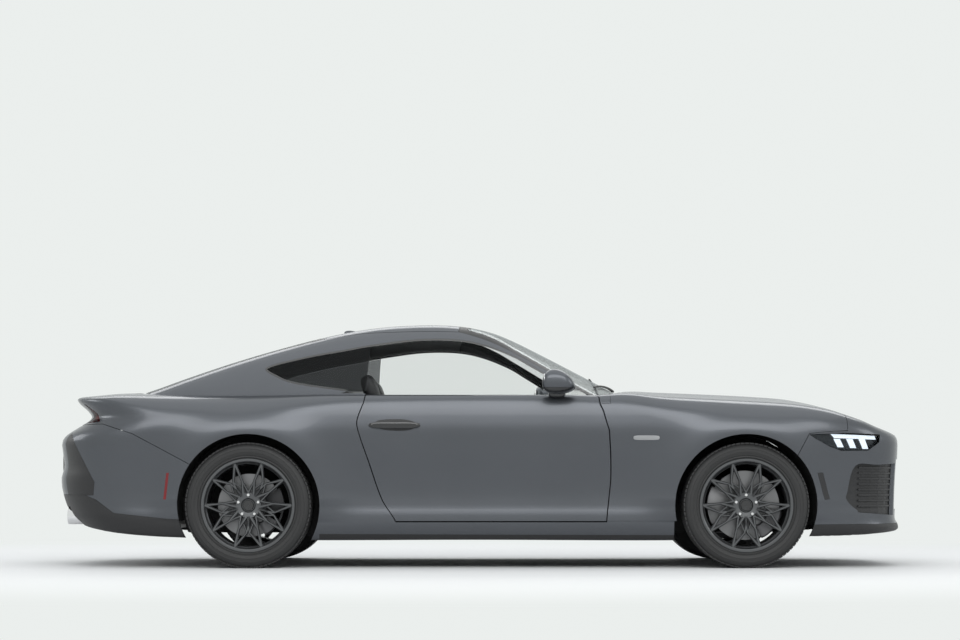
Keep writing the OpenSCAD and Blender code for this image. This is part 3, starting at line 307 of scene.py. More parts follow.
# %% Points along rays
def reach(shape, start, ray, deep):
    lo, hi = np.zeros(len(start)), np.full(len(start), 1500.0)
    for _ in range(24):
        mid = (lo + hi) / 2
        out = shape(*(start + ray * mid[:, None]).T) + deep > 0
        hi, lo = np.where(out, mid, hi), np.where(out, lo, mid)
    return start + ray * lo[:, None]
def finer(values, times):
    values = np.array(values, float)
    last = len(values) - 1
    return np.interp(np.linspace(0, last, last * times + 1), np.arange(last + 1), values)
def half_lower(deep=0, hem=True, times=5):
    rows = np.degrees(np.concatenate([[-np.pi/2, -0.87],
        np.arctan2(np.array([120, 160, 200, 260, 340, 450, 570, 690, 770, 830, 880, 915, 945]) - SPINE_Z,
            915),
        np.arctan2(460, np.array([850, 730, 540, 300])), [np.pi/2]]))
    rows = finer(rows, times)
    spine = finer([1480] * 9 + list(np.linspace(1480, -1480, 27)[1:-1]) + [-1480] * 9, times)
    turn = finer(list(np.linspace(0, 90, 9)) + [90] * 25 + list(np.linspace(90, 180, 9)), times)
    nr, nc = len(rows) - 2, len(spine)
    r, t = np.radians(rows[1:-1]), np.radians(turn)
    ray = np.stack([np.cos(t)[:, None] * np.cos(r), np.sin(t)[:, None] * np.cos(r),
        np.ones((nc, 1)) * np.sin(r)], -1).reshape(-1, 3)
    start = np.stack([np.repeat(spine, nr), np.zeros(nc * nr), np.full(nc * nr, SPINE_Z)], -1)
    shape = lambda x, y, z: lower(x, y, z, hem)
    pts = reach(shape, start, ray, deep).reshape(nc, nr, 3)
    pts[0, :, 1] = pts[-1, :, 1] = 0
    mid = np.where(np.abs(turn - 90) < 1e-6)[0]
    ends = []
    for sign in (-1, 1):
        s = np.stack([spine[mid], np.zeros(len(mid)), np.full(len(mid), SPINE_Z)], -1)
        ends.append(reach(shape, s, np.array([[0, 0, sign]] * len(mid), float), deep))
    verts = np.concatenate([pts.reshape(-1, 3), ends[0], ends[1]])
    base, crown = nc * nr, nc * nr + len(mid)
    def name(i, j):
        k = min(max(i, mid[0]), mid[-1]) - mid[0]
        return base + k if j == 0 else crown + k if j == nr + 1 else i * nr + j - 1
    faces = []
    for i in range(nc - 1):
        for j in range(nr + 1):
            q = [name(i, j), name(i, j + 1), name(i + 1, j + 1), name(i + 1, j)]
            q = [v for k, v in enumerate(q) if v != q[k - 1]]
            if len(q) > 2:
                faces.append(q[::-1])
    flat = [name(0, j) for j in range(nr, 0, -1)] + [name(i, 0) for i in mid]
    flat += [name(nc - 1, j) for j in range(1, nr + 1)] + [name(i, nr + 1) for i in mid[::-1]]
    return verts, faces + [flat[::-1]]
def half_upper(deep=0, times=5):
    xs = finer(np.linspace(880, -2040, 29), times)
    a = np.radians(finer([0, 10, 20, 29, 36, 42, 47, 53, 62, 75, 90], times))
    n, nr = len(xs), len(a)
    start = np.stack([np.repeat(xs, nr), np.zeros(n * nr), np.full(n * nr, GLASS_Z)], -1)
    ray = np.tile(np.stack([np.zeros(nr), np.cos(a), np.sin(a)], -1), (n, 1))
    pts = reach(upper, start, ray, deep)
    pts[nr - 1::nr, 1] = 0
    verts = np.concatenate([pts, np.stack([xs, np.zeros(n), np.full(n, GLASS_Z)], -1)])
    foot = n * nr
    faces = [[i*nr+j, i*nr+j+1, (i+1)*nr+j+1, (i+1)*nr+j] for i in range(n-1) for j in range(nr-1)]
    faces += [[foot+i, i*nr, (i+1)*nr, foot+i+1] for i in range(n-1)]
    faces += [[foot+i+1, (i+1)*nr+nr-1, i*nr+nr-1, foot+i] for i in range(n-1)]
    faces += [[foot] + list(range(nr-1, -1, -1)), [foot+n-1] + [(n-1)*nr+j for j in range(nr)]]
    return verts, [f[::-1] for f in faces]

# %% [markdown]
# A mesh from plain lists of points in millimetres becomes an object in metres. Cutting uses the
# fast solver for closed solids: each panel is the skin, kept inside some shapes and outside others.

# %% Solids, and cutting them
def raw(name, verts, faces):
    mesh = bpy.data.meshes.new(name)
    mesh.from_pydata((np.asarray(verts) * MM).tolist(), [], [list(map(int, f)) for f in faces])
    mesh.update()
    bm = bmesh.new()
    bm.from_mesh(mesh)
    bmesh.ops.triangulate(bm, faces=bm.faces[:])
    if bm.calc_volume(signed=True) < 0:
        bmesh.ops.reverse_faces(bm, faces=bm.faces[:])
    bm.to_mesh(mesh)
    bm.free()
    obj = bpy.data.objects.new(name, mesh)
    scene.collection.objects.link(obj)
    return obj
def bands(rows, n, closed=False):
    "Faces between rings of n points, one after the other; closed joins the last ring to the first."
    links = [(i, (i + 1) % rows) for i in range(rows if closed else rows - 1)]
    return [[i*n+j, i*n+(j+1) % n, k*n+(j+1) % n, k*n+j] for i, k in links for j in range(n)]
def caps(rows, n):
    return [list(range(n))[::-1], list(range((rows - 1) * n, rows * n))]
SIX_FACES = [[0, 1, 2, 3], [7, 6, 5, 4], [0, 4, 5, 1], [1, 5, 6, 2], [2, 6, 7, 3], [3, 7, 4, 0]]
def values(items, field, width=1, kind=float):
    out = np.empty(len(items) * width, kind)
    items.foreach_get(field, out)
    return out.reshape(-1, width) if width > 1 else out
def points(obj):
    return values(obj.data.vertices, "co", 3)
def move_points(obj, co):
    obj.data.vertices.foreach_set("co", co.ravel())
    obj.data.update()
def drop(*objs):
    for o in objs:
        bpy.data.meshes.remove(o.data) if o.type == "MESH" else bpy.data.objects.remove(o)
def baked(obj):
    mesh = bpy.data.meshes.new_from_object(obj.evaluated_get(bpy.context.evaluated_depsgraph_get()))
    obj.modifiers.clear()
    obj.data = mesh
    return obj
def cut(obj, keep=(), remove=(), add=()):
    "Add shapes to an object, keep only what lies inside others, then take others away."
    for op, shapes in (("UNION", add), ("INTERSECT", keep), ("DIFFERENCE", remove)):
        for s in shapes:
            mod = obj.modifiers.new("cut", "BOOLEAN")
            mod.operation, mod.object, mod.solver = op, s, "MANIFOLD"
    return baked(obj)
def copy(obj, name):
    new = bpy.data.objects.new(name, obj.data.copy())
    scene.collection.objects.link(new)
    return new
def block(x0, x1, y0, y1, z0, z1):
    v = [(x, y, z) for x in (x0, x1) for y in (y0, y1) for z in (z0, z1)]
    return raw("block", v, [[0, 1, 3, 2], [4, 6, 7, 5], [0, 4, 5, 1], [2, 3, 7, 6], [0, 2, 6, 4],
        [1, 5, 7, 3]])
def prism(outline, axis, lo, hi):
    p = np.array(outline, float)
    n = len(p)
    def at(v):
        return [(a, v, b) for a, b in p] if axis == "y" else [(a, b, v) for a, b in p]
    return raw("prism", at(lo) + at(hi), caps(2, n) + bands(2, n))
def grow(outline, by):
    p = np.array(outline, float)
    area = np.sum(p[:, 0] * np.roll(p[:, 1], -1) - np.roll(p[:, 0], -1) * p[:, 1])
    d1, d2 = p - np.roll(p, 1, 0), np.roll(p, -1, 0) - p
    n1 = np.stack([d1[:, 1], -d1[:, 0]], -1)
    n2 = np.stack([d2[:, 1], -d2[:, 0]], -1)
    n1 /= np.linalg.norm(n1, axis=1)[:, None]
    n2 /= np.linalg.norm(n2, axis=1)[:, None]
    s = 1 if area > 0 else -1
    return p + s * by * (n1 + n2) / np.maximum(1 + np.sum(n1 * n2, 1), 0.3)[:, None]
def rounded(outline, steps=6):
    p = np.array(outline, float)
    out = []
    for i in range(len(p)):
        a, b, c, d = p[i - 1], p[i], p[(i + 1) % len(p)], p[(i + 2) % len(p)]
        for t in np.linspace(0, 1, steps, endpoint=False):
            out.append(0.5 * (2*b + (c - a)*t + (2*a - 5*b + 4*c - d)*t*t + (3*b - a - 3*c + d)*t**3))
    return np.array(out)
SKIN = {}
for key, (v, f) in {"low": half_lower(), "low20": half_lower(20, False),
        "low22": half_lower(22.4, False, 3), "low84": half_lower(84, False, 2), "up": half_upper(),
        "up5": half_upper(5), "low6": half_lower(6, False, 3), "low14": half_lower(14, False, 3),
        "up42": half_upper(42, 2), "up50": half_upper(50, 2)}.items():
    SKIN[key] = raw(key, v, f)
print({k: len(o.data.polygons) for k, o in SKIN.items()})

# %% [markdown]
# Pressed panels need flawless reflections. A cut leaves long thin triangles, whose averaged
# normals would ripple, so each outer point takes its normal from the body's own shape instead.
# Cut edges keep flat normals, and stay crisp.

# %% Normals from the shape, mirror images and finished panels
def slope_of(shape, p):
    e = 3.0
    g = np.stack([shape(*(p + d).T) - shape(*(p - d).T) for d in np.eye(3) * e], -1)
    return g / np.maximum(np.linalg.norm(g, axis=1), 1e-9)[:, None]
def true_normals(obj, shapes, tol=1.2, depth=(0,)):
    "Smooth normals where a point lies on one of the shapes; the upper shape counts above z 900."
    me = obj.data
    p = points(obj) / MM
    vi = values(me.loops, "vertex_index", 1, int)
    face = np.repeat(values(me.polygons, "normal", 3), values(me.polygons, "loop_total", 1, int), 0)
    out = face.copy()
    for shape in shapes:
        f, g = shape(*p.T), slope_of(shape, p)
        for d in depth:
            on = (np.abs(f + d) < tol + d * 0.05) & ((p[:, 2] > 900) | (shape is not UP))
            same = np.sum(g[vi] * face, 1)
            use = on[vi] & (np.abs(same) > 0.86)
            out[use] = g[vi][use] * np.sign(same[use])[:, None]
    me.polygons.foreach_set("use_smooth", np.ones(len(me.polygons), bool))
    me.normals_split_custom_set(out.tolist())
def mirrored(obj, name):
    new = copy(obj, name)
    move_points(new, points(new) * (1, -1, 1))
    new.data.flip_normals()
    new.data.update()
    return new
def whole(half):
    other = mirrored(half, "other")
    cut(half, add=[other])
    drop(other)
    return half
def wear(obj, material, body="body", smooth=None, *nodes):
    "Give an object its material, its edge angle, its body and the CAD nodes that it replaces."
    obj.data.materials.clear()
    obj.data.materials.append(material)
    for poly in obj.data.polygons:
        poly.material_index = 0
    if smooth is not None:
        obj.data.polygons.foreach_set("use_smooth", np.ones(len(obj.data.polygons), bool))
        obj.data.set_sharp_from_angle(angle=math.radians(smooth))
    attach(obj, body)
    if nodes:
        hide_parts(*nodes)
    return obj
LOW, UP = lower, upper
print("panel tools ready")

# %% [markdown]
# Shut lines are drawn as outlines, in side view or in plan, and swept right through the body.
# The same outline cuts both neighbours, each with half the gap, so that the gap stays even.

# %% Outlines of the panels
WINDOWS = [[573, 957], [484, 999], [283, 1118], [178, 1178], [20, 1239], [-140, 1269], [-357, 1269],
    [-608, 1236], [-759, 1208], [-960, 1171], [-1187, 1108], [-1122, 1050], [-1005, 1009], [-748, 971],
    [-657, 957]]
DOOR_FRONT = [[640, 1400], [642, 945], [685, 862], [718, 753], [718, 645], [713, 482], [696, 318],
    [691, 248]]
DOOR_REAR = [[-626, 1400], [-626, 945], [-669, 808], [-664, 753], [-609, 590], [-533, 373], [-473, 280],
    [-455, 248]]
DOOR_LOW, DOOR_X, DOOR_Y = 256, 638, 868
BUMPER_SEAM = [[1690, 540], [1795, 735], [1860, 742], [2010, 752], [2120, 775], [2600, 800], [2600, 100],
    [1700, 100]]
HEADLAMP = [[1796, 729], [1990, 738], [2203, 731], [2196, 690], [2130, 645], [1974, 643], [1907, 666],
    [1834, 706]]
REAR_SEAM = [[-1500, 530], [-1570, 560], [-1900, 735], [-2075, 790], [-2600, 790], [-2600, 100],
    [-1500, 100]]
TAIL_LAMP = [[-2100, 806], [-2180, 800], [-2600, 800], [-2600, 902], [-2200, 902], [-2125, 850]]
HOOD = [[2160, 0], [2150, 300], [2110, 520], [2040, 660], [1957, 740], [1832, 778], [1600, 778],
    [1300, 765], [1000, 752], [800, 742], [716, 735], [745, 600], [790, 420], [822, 200], [832, 0]]
COWL = [[832, 0], [822, 200], [790, 420], [745, 600], [716, 735], [712, 800], [560, 800], [560, 0]]
WINDSHIELD = [[900, 0], [860, 300], [790, 560], [700, 750], [560, 760], [-120, 545], [-100, 300], [-92, 0]]
ROOF_PLAN = [[-92, 0], [-100, 300], [-120, 545], [-500, 540], [-860, 520], [-900, 480], [-930, 0]]
BACKLIGHT = [[-930, 0], [-900, 480], [-860, 520], [-1500, 560], [-1900, 560], [-1935, 300], [-1942, 0]]
LID = [[-1952, 0], [-1946, 300], [-1930, 500], [-1925, 575], [-2100, 592], [-2600, 592], [-2600, 0]]
GRILLE = [[2200, 320], [2600, 320], [2600, 600], [2200, 600]]

def stretch(outline):
    "An outline in plan whose edge along the middle of the car reaches past it."
    return [[a, -120 if b == 0 else b] for a, b in outline]
def side(outline, by=0, y0=-30, y1=1200):
    return prism(grow(outline, by), "y", y0, y1)
def plan(outline, by=0, z0=100, z1=1500):
    return prism(grow(stretch(outline), by), "z", z0, z1)
def spun(profile, steps, a0, a1):
    "A solid turned about the door's hinge pin, from angle a0 to a1."
    turn = a1 - a0 > 359.9
    v, n = [], len(profile)
    for a in np.radians(np.linspace(a0, a1, steps, endpoint=not turn)):
        v += [(DOOR_X + r * math.cos(a), DOOR_Y + r * math.sin(a), z) for r, z in profile]
    return raw("spun", v, bands(steps, n, turn) + ([] if turn else caps(steps, n)))
def door_space(by=0.0, top=1400):
    zs = np.linspace(DOOR_LOW - by, top, 90)
    fx = np.interp(zs, [p[1] for p in DOOR_FRONT][::-1], [p[0] for p in DOOR_FRONT][::-1]) - DOOR_X
    rx = DOOR_X - curve([p[::-1] for p in DOOR_REAR[::-1]], zs)
    front = [(0.01, zs[0])] + [(max(r, 2) + by, z) for r, z in zip(fx, zs)] + [(0.01, zs[-1])]
    rear = [(0.01, zs[0])] + [(r + by, z) for r, z in zip(rx, zs)] + [(0.01, zs[-1])]
    a, b = spun(front, 72, 0, 360), spun(rear, 120, 90, 270)
    cut(b, add=[a])
    drop(a)
    return b
DOOR, AROUND, UNDER_RAIL = door_space(0), door_space(6), door_space(6, 972)
def ring_of(x, r, steps, low=-1000):
    "Points (x, z) on a circle about an axle, none below the height low."
    turns = np.linspace(0, 2 * math.pi, steps, endpoint=False)
    return [(x + r * math.cos(a), max(WHEEL_Z + r * math.sin(a), low)) for a in turns]
ARCH = [prism(ring_of(x, ARCH_R, 160), "y", 300, 1200) for x in (FRONT_AXLE, REAR_AXLE)]
print("outlines ready; the door's own space has", len(DOOR.data.polygons), "faces")

# %% [markdown]
# The side of a unitary body is one large pressing: sill, rear quarter, pillars and the rail over
# the door. It is cut from the body's skin by everything that is bolted or hinged to it.

# %% Body sides
trunk_hole, window_hole = plan(LID, 6, 780), side(rounded(WINDOWS))
side_l = copy(SKIN["low"], "left_body_side_skin")
cut(side_l, add=[SKIN["up"]])
tools = [block(640, 3000, -50, 2000, 256.5, 900), block(712, 3000, -50, 2000, 256.5, 2000),
    block(1062, 3000, -50, 2000, 0, 400), UNDER_RAIL, *ARCH, window_hole, side(REAR_SEAM, 1.5),
    side(TAIL_LAMP, 1.5, 560), trunk_hole, plan(BACKLIGHT, 0.4, 960), plan(ROOF_PLAN, 1.5, 1150),
    plan(WINDSHIELD, 0.4, 950), block(500, 1200, -30, 735.8, 800, 1500),
    block(-3000, 1200, -60, 500, 0, 1000), block(-1940, 1200, -60, 500, 0, 1100)]
cut(side_l, remove=[SKIN["low20"], SKIN["up42"]] + tools)
true_normals(side_l, [LOW, UP])
side_r = mirrored(side_l, "right_body_side_skin")
true_normals(side_r, [LOW, UP])
print("body side", len(side_l.data.polygons))

# %% [markdown]
# Doors, fenders, hood and lid are pressed skins about a millimetre thick, folded round an inner
# frame. What shows is the outer face and the folded edge, so each is cut as a 20 mm shell. Faces
# under the outer skin of the body's sides get a matt lining, so that no bright paint shows inside.

# %% Doors, fenders, hood and trunk lid
def panel(name, keep=(), remove=(), both=False):
    obj = copy(SKIN["low"], name)
    cut(obj, keep=keep, remove=[SKIN["low20"], *remove])
    if both:
        whole(obj)
    true_normals(obj, [LOW])
    return obj
def pair(left, material, body, *nodes):
    "Mirror a left panel, and hand both to their bodies and CAD nodes."
    name = left.name.replace("left", "right")
    right = mirrored(left, name)
    true_normals(right, [LOW, UP])
    for o, s in ((left, "left"), (right, "right")):
        wear(o, material, body.replace("left", s), None, *[n.replace("left", s) for n in nodes])
    return right
door_l = panel("left_door_skin", [block(-900, 900, 748, 1200, 257, 1100), DOOR])
hood_hole, cowl_hole = plan(HOOD, 8), plan(COWL, 0.4)
fender_l = panel("left_fender_skin", [block(500, 2009, -10, 2000, 257.5, 2000)],
    [AROUND, block(-10, 713.5, -100, 2000, 898.5, 2000), ARCH[0], hood_hole, cowl_hole,
    side(BUMPER_SEAM, 1.5), side(HEADLAMP, 1.5), block(0, 713.5, -100, 600, 0, 2000),
    block(400, 690, 700, 1300, 0, 600)])
hood = panel("hood_skin", [plan(HOOD, 0, 600, 1200)], both=True)
lid = panel("trunk_lid_skin", [plan(LID, 0, 791, 1200)], both=True)
pair(door_l, PAINT, "left_door", "left_door")
pair(fender_l, PAINT, "body", "left_fender")
def matt(name, colour):
    m = Mat(name)
    soft = m.noise(120, 3.0, 0.6)
    return m.finish(Base_Color=m.blend(soft, colour, tuple(c * 1.6 for c in colour)),
        Roughness=0.95 + soft * 0.05, Specular_IOR_Level=0.12)
INSIDE = matt("matt_lining", (0.006, 0.006, 0.0065))
LINING_DEPTH = 3
def lined(obj, material):
    "A second material on the faces that lie under the outer skin."
    obj.data.materials.append(material)
    centre = np.array([f.center for f in obj.data.polygons]) / MM
    low, up = lower(*centre.T), upper(*centre.T)
    inner = np.where(centre[:, 2] > 900, np.minimum(low, up), low) < -LINING_DEPTH
    obj.data.polygons.foreach_set("material_index", inner.astype(int))
    return int(inner.sum())
for o, s in ((side_l, "left"), (side_r, "right")):
    wear(o, PAINT, "body", None, s + "_body_side")
    print("lined faces", lined(o, INSIDE))
wear(hood, PAINT, "hood", None, "hood")
wear(lid, PAINT, "trunk_lid", None, "trunk_lid")
print("door", len(door_l.data.polygons), "fender", len(fender_l.data.polygons), "hood",
    len(hood.data.polygons), "lid", len(lid.data.polygons))

# %% [markdown]
# Bumper covers are painted plastic, with black parts let in: the splitter and the side intakes
# in front, and the diffuser and corner vents behind. One shell is cut into these parts along
# outlines, so they stay flush with each other.

# %% Bumpers
INTAKE = [[2058, 560], [2200, 566], [2600, 566], [2600, 300], [2130, 300], [2068, 318], [2010, 372],
    [2014, 420]]
SPLIT = [[1700, 150], [1700, 236], [1900, 238], [2200, 240], [2600, 244], [2600, 100]]
front = copy(SKIN["low"], "front_bumper_skin")
nose_low, lamp_hole = side(BUMPER_SEAM, -1.5), side(HEADLAMP, 1.5)
nose_top = block(2011.5, 2600, -1, 1200, 700, 1000)
cut(nose_low, add=[cut(nose_top, remove=[lamp_hole])])
cut(front, keep=[nose_low], remove=[SKIN["low20"], plan(HOOD, 8, 600), lamp_hole, ARCH[0]])
splitter = copy(front, "front_splitter")
intake = side(rounded(INTAKE, 5), 0, 590)
middle = side(GRILLE, 0, -30, 560)
MARKER = [[1842, 520], [1872, 522], [1912, 377], [1884, 374]]
cut(splitter, keep=[side(SPLIT)])
cut(front, remove=[side(SPLIT, 1), intake, middle, side(MARKER, 0.5, 700)])
def cover_part(half, material, *nodes):
    whole(half)
    true_normals(half, [LOW])
    wear(half, material, "body", None, *nodes)
cover_part(front, PAINT, "front_bumper")
cover_part(splitter, BLACK)
DIFFUSER = [[-1500, 100], [-1500, 262], [-1700, 268], [-2010, 300], [-2110, 372], [-2180, 400],
    [-2600, 404], [-2600, 100]]
CORNER = [[-2600, 748], [-2270, 742], [-2215, 640], [-2120, 470], [-2128, 398], [-2600, 398]]
rear = copy(SKIN["low"], "rear_bumper_skin")
shelf = block(-3000, -1930, -30, 598, 784, 1000)
plate = block(-3000, -2382, -30, 268, 528, 652)
tips = block(-3000, -2120, 370, 595, 0, 335)
cut(rear, keep=[side(REAR_SEAM, -1.5)], remove=[SKIN["low20"], ARCH[1], shelf, plate])
diffuser, corner = copy(rear, "rear_diffuser"), copy(rear, "rear_corner_vents")
cut(diffuser, keep=[side(DIFFUSER)], remove=[tips])
cut(corner, keep=[side(CORNER, 0, 640)])
cut(rear, remove=[side(DIFFUSER, 1), side(CORNER, 1, 639), tips])
cover_part(rear, PAINT, "rear_bumper")
cover_part(diffuser, BLACK)
cover_part(corner, BLACK)
print("bumpers", len(front.data.polygons), len(rear.data.polygons))

# %% [markdown]
# The roof and the glass come from the glasshouse shape. Each pane has a black ceramic band round
# its edge that hides the glue; it is a second strip of the same skin, cut by the same outline.

# %% Roof and glass
def over(name, inner, keep, remove=(), both=True):
    obj = copy(SKIN["up"], name)
    cut(obj, keep=keep, remove=[SKIN[inner], *remove])
    if both:
        whole(obj)
    true_normals(obj, [UP], depth=(0, 5))
    return obj
GROWN = raw("grown", *half_lower(-0.5, True, 3))
window_frame = side(WINDOWS, 12)
roof = over("roof_skin", "up42", [plan(ROOF_PLAN, -1.5, 1150)])
roof = wear(roof, PAINT, "body", None, "roof")
lined(roof, INSIDE)
shield_shape, back_shape = plan(WINDSHIELD, -0.4, 900), plan(BACKLIGHT, -0.4, 900)
shield_view, back_view = plan(WINDSHIELD, -48, 900), plan(BACKLIGHT, -40, 900)
shield = over("windshield_glass", "up5", [shield_view], [GROWN, window_frame])
back = over("rear_window_glass", "up5", [back_view], [GROWN])
for o in (over("windshield_band", "up5", [shield_shape], [shield_view, GROWN, window_frame]),
        over("rear_window_band", "up5", [back_shape], [back_view, GROWN])):
    wear(o, BLACK, "body")
    lined(o, INSIDE)
wear(shield, GLASS, "body", None, "windshield")
wear(back, DARK_GLASS, "body", None, "rear_window")
pane_shape = side(rounded(WINDOWS), -11)
belt = block(-600, 540, 200, 1200, 930, 966)
cut(belt, add=[pane_shape])
door_glass = over("left_door_pane", "up5", [belt, DOOR, block(-800, 700, 200, 1200, 930, 1400)],
    [GROWN], False)
quarter = over("left_quarter_pane", "up5",
    [side(rounded(WINDOWS), -11), block(-1400, -600, 200, 1200, 900, 1400)], [AROUND], False)
pair(door_glass, GLASS, "left_door", "left_door_glass")
pair(quarter, DARK_GLASS, "body")
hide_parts("quarter_windows")
print("glass", len(shield.data.polygons), len(door_glass.data.polygons))

# %% [markdown]
# Things that go round a wheel, such as spokes, nuts, vents and tread blocks, are one small mesh
# turned about the axle again and again. A Geometry Nodes tree does it: one point for each copy, the
# mesh instanced on them with a growing turn, then realized so that the copies are real faces.

# %% Geometry Nodes: copies round an axle, and copies on points
def tree(name, sockets):
    g = bpy.data.node_groups.new(name, "GeometryNodeTree")
    for label, kind in sockets:
        g.interface.new_socket(label, in_out="INPUT", socket_type=kind)
    g.interface.new_socket("Geometry", in_out="OUTPUT", socket_type="NodeSocketGeometry")
    return g, g.nodes.new("NodeGroupInput"), g.nodes.new("NodeGroupOutput")
def linked(g, *pairs):
    for out, into in pairs:
        g.links.new(out, into)
def ends_in(g, instances, material, out):
    real, paint_it = g.nodes.new("GeometryNodeRealizeInstances"), g.nodes.new("GeometryNodeSetMaterial")
    linked(g, (instances, real.inputs[0]), (real.outputs[0], paint_it.inputs["Geometry"]),
        (material, paint_it.inputs["Material"]), (paint_it.outputs[0], out.inputs[0]))
def ring_tree():
    g, inp, out = tree("copies_round_axle", [("Geometry", "NodeSocketGeometry"), ("Count", "NodeSocketInt"),
        ("Material", "NodeSocketMaterial")])
    pts, inst = g.nodes.new("GeometryNodePoints"), g.nodes.new("GeometryNodeInstanceOnPoints")
    kinds = ("GeometryNodeInputIndex", "ShaderNodeMath", "ShaderNodeMath", "ShaderNodeCombineXYZ")
    index, step, turn, vec = (g.nodes.new(kind) for kind in kinds)
    step.operation, turn.operation = "DIVIDE", "MULTIPLY"
    step.inputs[0].default_value = 2 * math.pi
    linked(g, (inp.outputs["Count"], pts.inputs["Count"]), (inp.outputs["Count"], step.inputs[1]),
        (step.outputs[0], turn.inputs[0]), (index.outputs[0], turn.inputs[1]),
        (turn.outputs[0], vec.inputs["Y"]), (pts.outputs[0], inst.inputs["Points"]),
        (inp.outputs["Geometry"], inst.inputs["Instance"]), (vec.outputs[0], inst.inputs["Rotation"]))
    ends_in(g, inst.outputs[0], inp.outputs["Material"], out)
    return g
def spot_tree():
    g, inp, out = tree("copies_on_points", [("Geometry", "NodeSocketGeometry"),
        ("Copy", "NodeSocketObject"), ("Size", "NodeSocketFloat"), ("Material", "NodeSocketMaterial")])
    info, inst = g.nodes.new("GeometryNodeObjectInfo"), g.nodes.new("GeometryNodeInstanceOnPoints")
    linked(g, (inp.outputs["Copy"], info.inputs["Object"]),
        (info.outputs["Geometry"], inst.inputs["Instance"]),
        (inp.outputs["Geometry"], inst.inputs["Points"]), (inp.outputs["Size"], inst.inputs["Scale"]))
    ends_in(g, inst.outputs[0], inp.outputs["Material"], out)
    return g
RING, SPOTS = ring_tree(), spot_tree()
def grown_by(obj, group, **inputs):
    mod = obj.modifiers.new("copies", "NODES")
    mod.node_group = group
    for item in group.interface.items_tree:
        if item.in_out == "INPUT" and item.name in inputs:
            mod[item.identifier] = inputs[item.name]
    return baked(obj)
print("copy trees", len(RING.nodes), len(SPOTS.nodes))

# %% [markdown]
# A wheel is drawn once, at the origin, with its outer face towards +Y. The barrel and lip are
# turned from a profile. The spokes are ten narrow struts that fork and cross on the way to the hub,
# drawn for one fifth of the wheel and copied round.

# %% Wheel materials and turned shapes
def metal(name, colour, rough, metallic=1.0, coat=0.0):
    m = Mat(name)
    fine, wide = m.noise(60, 3.0), m.noise(6, 2.0)
    return m.finish(Base_Color=m.blend(wide * 0.35, colour, tuple(c * 0.72 for c in colour)),
        Metallic=metallic, Roughness=rough + (fine - 0.5) * 0.12, Coat_Weight=coat, Coat_Roughness=0.08,
        Normal=m.bump(m.noise(900, 1.0), 0.05, 0.0003))
ALLOY = metal("dark_wheel_alloy", (0.105, 0.108, 0.112), 0.34, 0.85, 0.3)
CHROME = metal("bright_chrome", (0.80, 0.80, 0.81), 0.12)
DISC = metal("brake_disc", (0.20, 0.20, 0.205), 0.38)
CALIPER = metal("caliper_grey", (0.13, 0.13, 0.135), 0.45, 0.6)
CASTING = metal("cast_metal", (0.24, 0.24, 0.245), 0.55, 0.8)
STEEL = metal("chassis_steel", (0.03, 0.03, 0.032), 0.55, 0.3)
PIPE = metal("exhaust_steel", (0.34, 0.33, 0.32), 0.38)
def turned(name, profile, steps=120):
    "A closed profile of (radius, y) turned about the Y axis."
    v = []
    for a in np.linspace(0, 2 * math.pi, steps, endpoint=False):
        v += [(r * math.sin(a), y, r * math.cos(a)) for r, y in profile]
    return raw(name, v, bands(steps, len(profile), True))
def joined(name, objs):
    v, f = [], []
    for o in objs:
        base = len(v)
        v += [tuple(p.co / MM) for p in o.data.vertices]
        f += [[base + i for i in p.vertices] for p in o.data.polygons]
    mesh = bpy.data.meshes.new(name)
    mesh.from_pydata((np.array(v) * MM).tolist(), [], f)
    mesh.update()
    new = bpy.data.objects.new(name, mesh)
    scene.collection.objects.link(new)
    drop(*objs)
    return new
def bar(a, b, wa, wb, ya, yb, deep=24):
    "A strut between two points (x, z), with a crowned outer face at heights ya and yb."
    a, b = np.array(a, float), np.array(b, float)
    d = (b - a) / np.linalg.norm(b - a)
    s = np.array([-d[1], d[0]])
    v, crown = [], 5
    for p, w, y in ((a, wa, ya), (b, wb, yb)):
        for t, h in ((-1, -deep), (-1, -crown), (-0.45, 0), (0.45, 0), (1, -crown), (1, -deep)):
            q = p + s * t * w / 2
            v.append((q[0], y + h, q[1]))
    return raw("bar", v, caps(2, 6) + bands(2, 6))
def polar(r, deg):
    return (r * math.sin(math.radians(deg)), r * math.cos(math.radians(deg)))
print("wheel tools ready")

# %% One wheel, at the origin
RIM_R, RIM_HALF, TYRE_R, TYRE_HALF = 257, 114.5, 343, 127.5
def spokes():
    parts = []
    for s in (-1, 1):
        rim, fork, mid, hub = polar(238, 18 * s), polar(150, 33 * s), polar(138, 14 * s), polar(66, 25 * s)
        parts += [bar(rim, fork, 18, 13, 102, 96), bar(rim, mid, 18, 13, 102, 96),
            bar(fork, polar(112, 36 * s), 13, 15, 96, 93), bar(mid, hub, 13, 20, 96, 90),
            bar(mid, polar(70, 0), 10, 15, 95, 89, 20), bar(fork, polar(104, 22 * s), 11, 11, 95, 92, 18),
            bar(polar(112, 36 * s), polar(60, 36 * s), 15, 24, 93, 89)]
    return joined("spokes", parts)
def tread_block():
    corners = ((-11, 78), (9, 78), (14, 112), (-6, 112))
    v = [(x * wide, y, z) for z, wide in ((TYRE_R - 8, 1.08), (TYRE_R - 0.2, 1.0)) for x, y in corners]
    return raw("block", v, SIX_FACES)
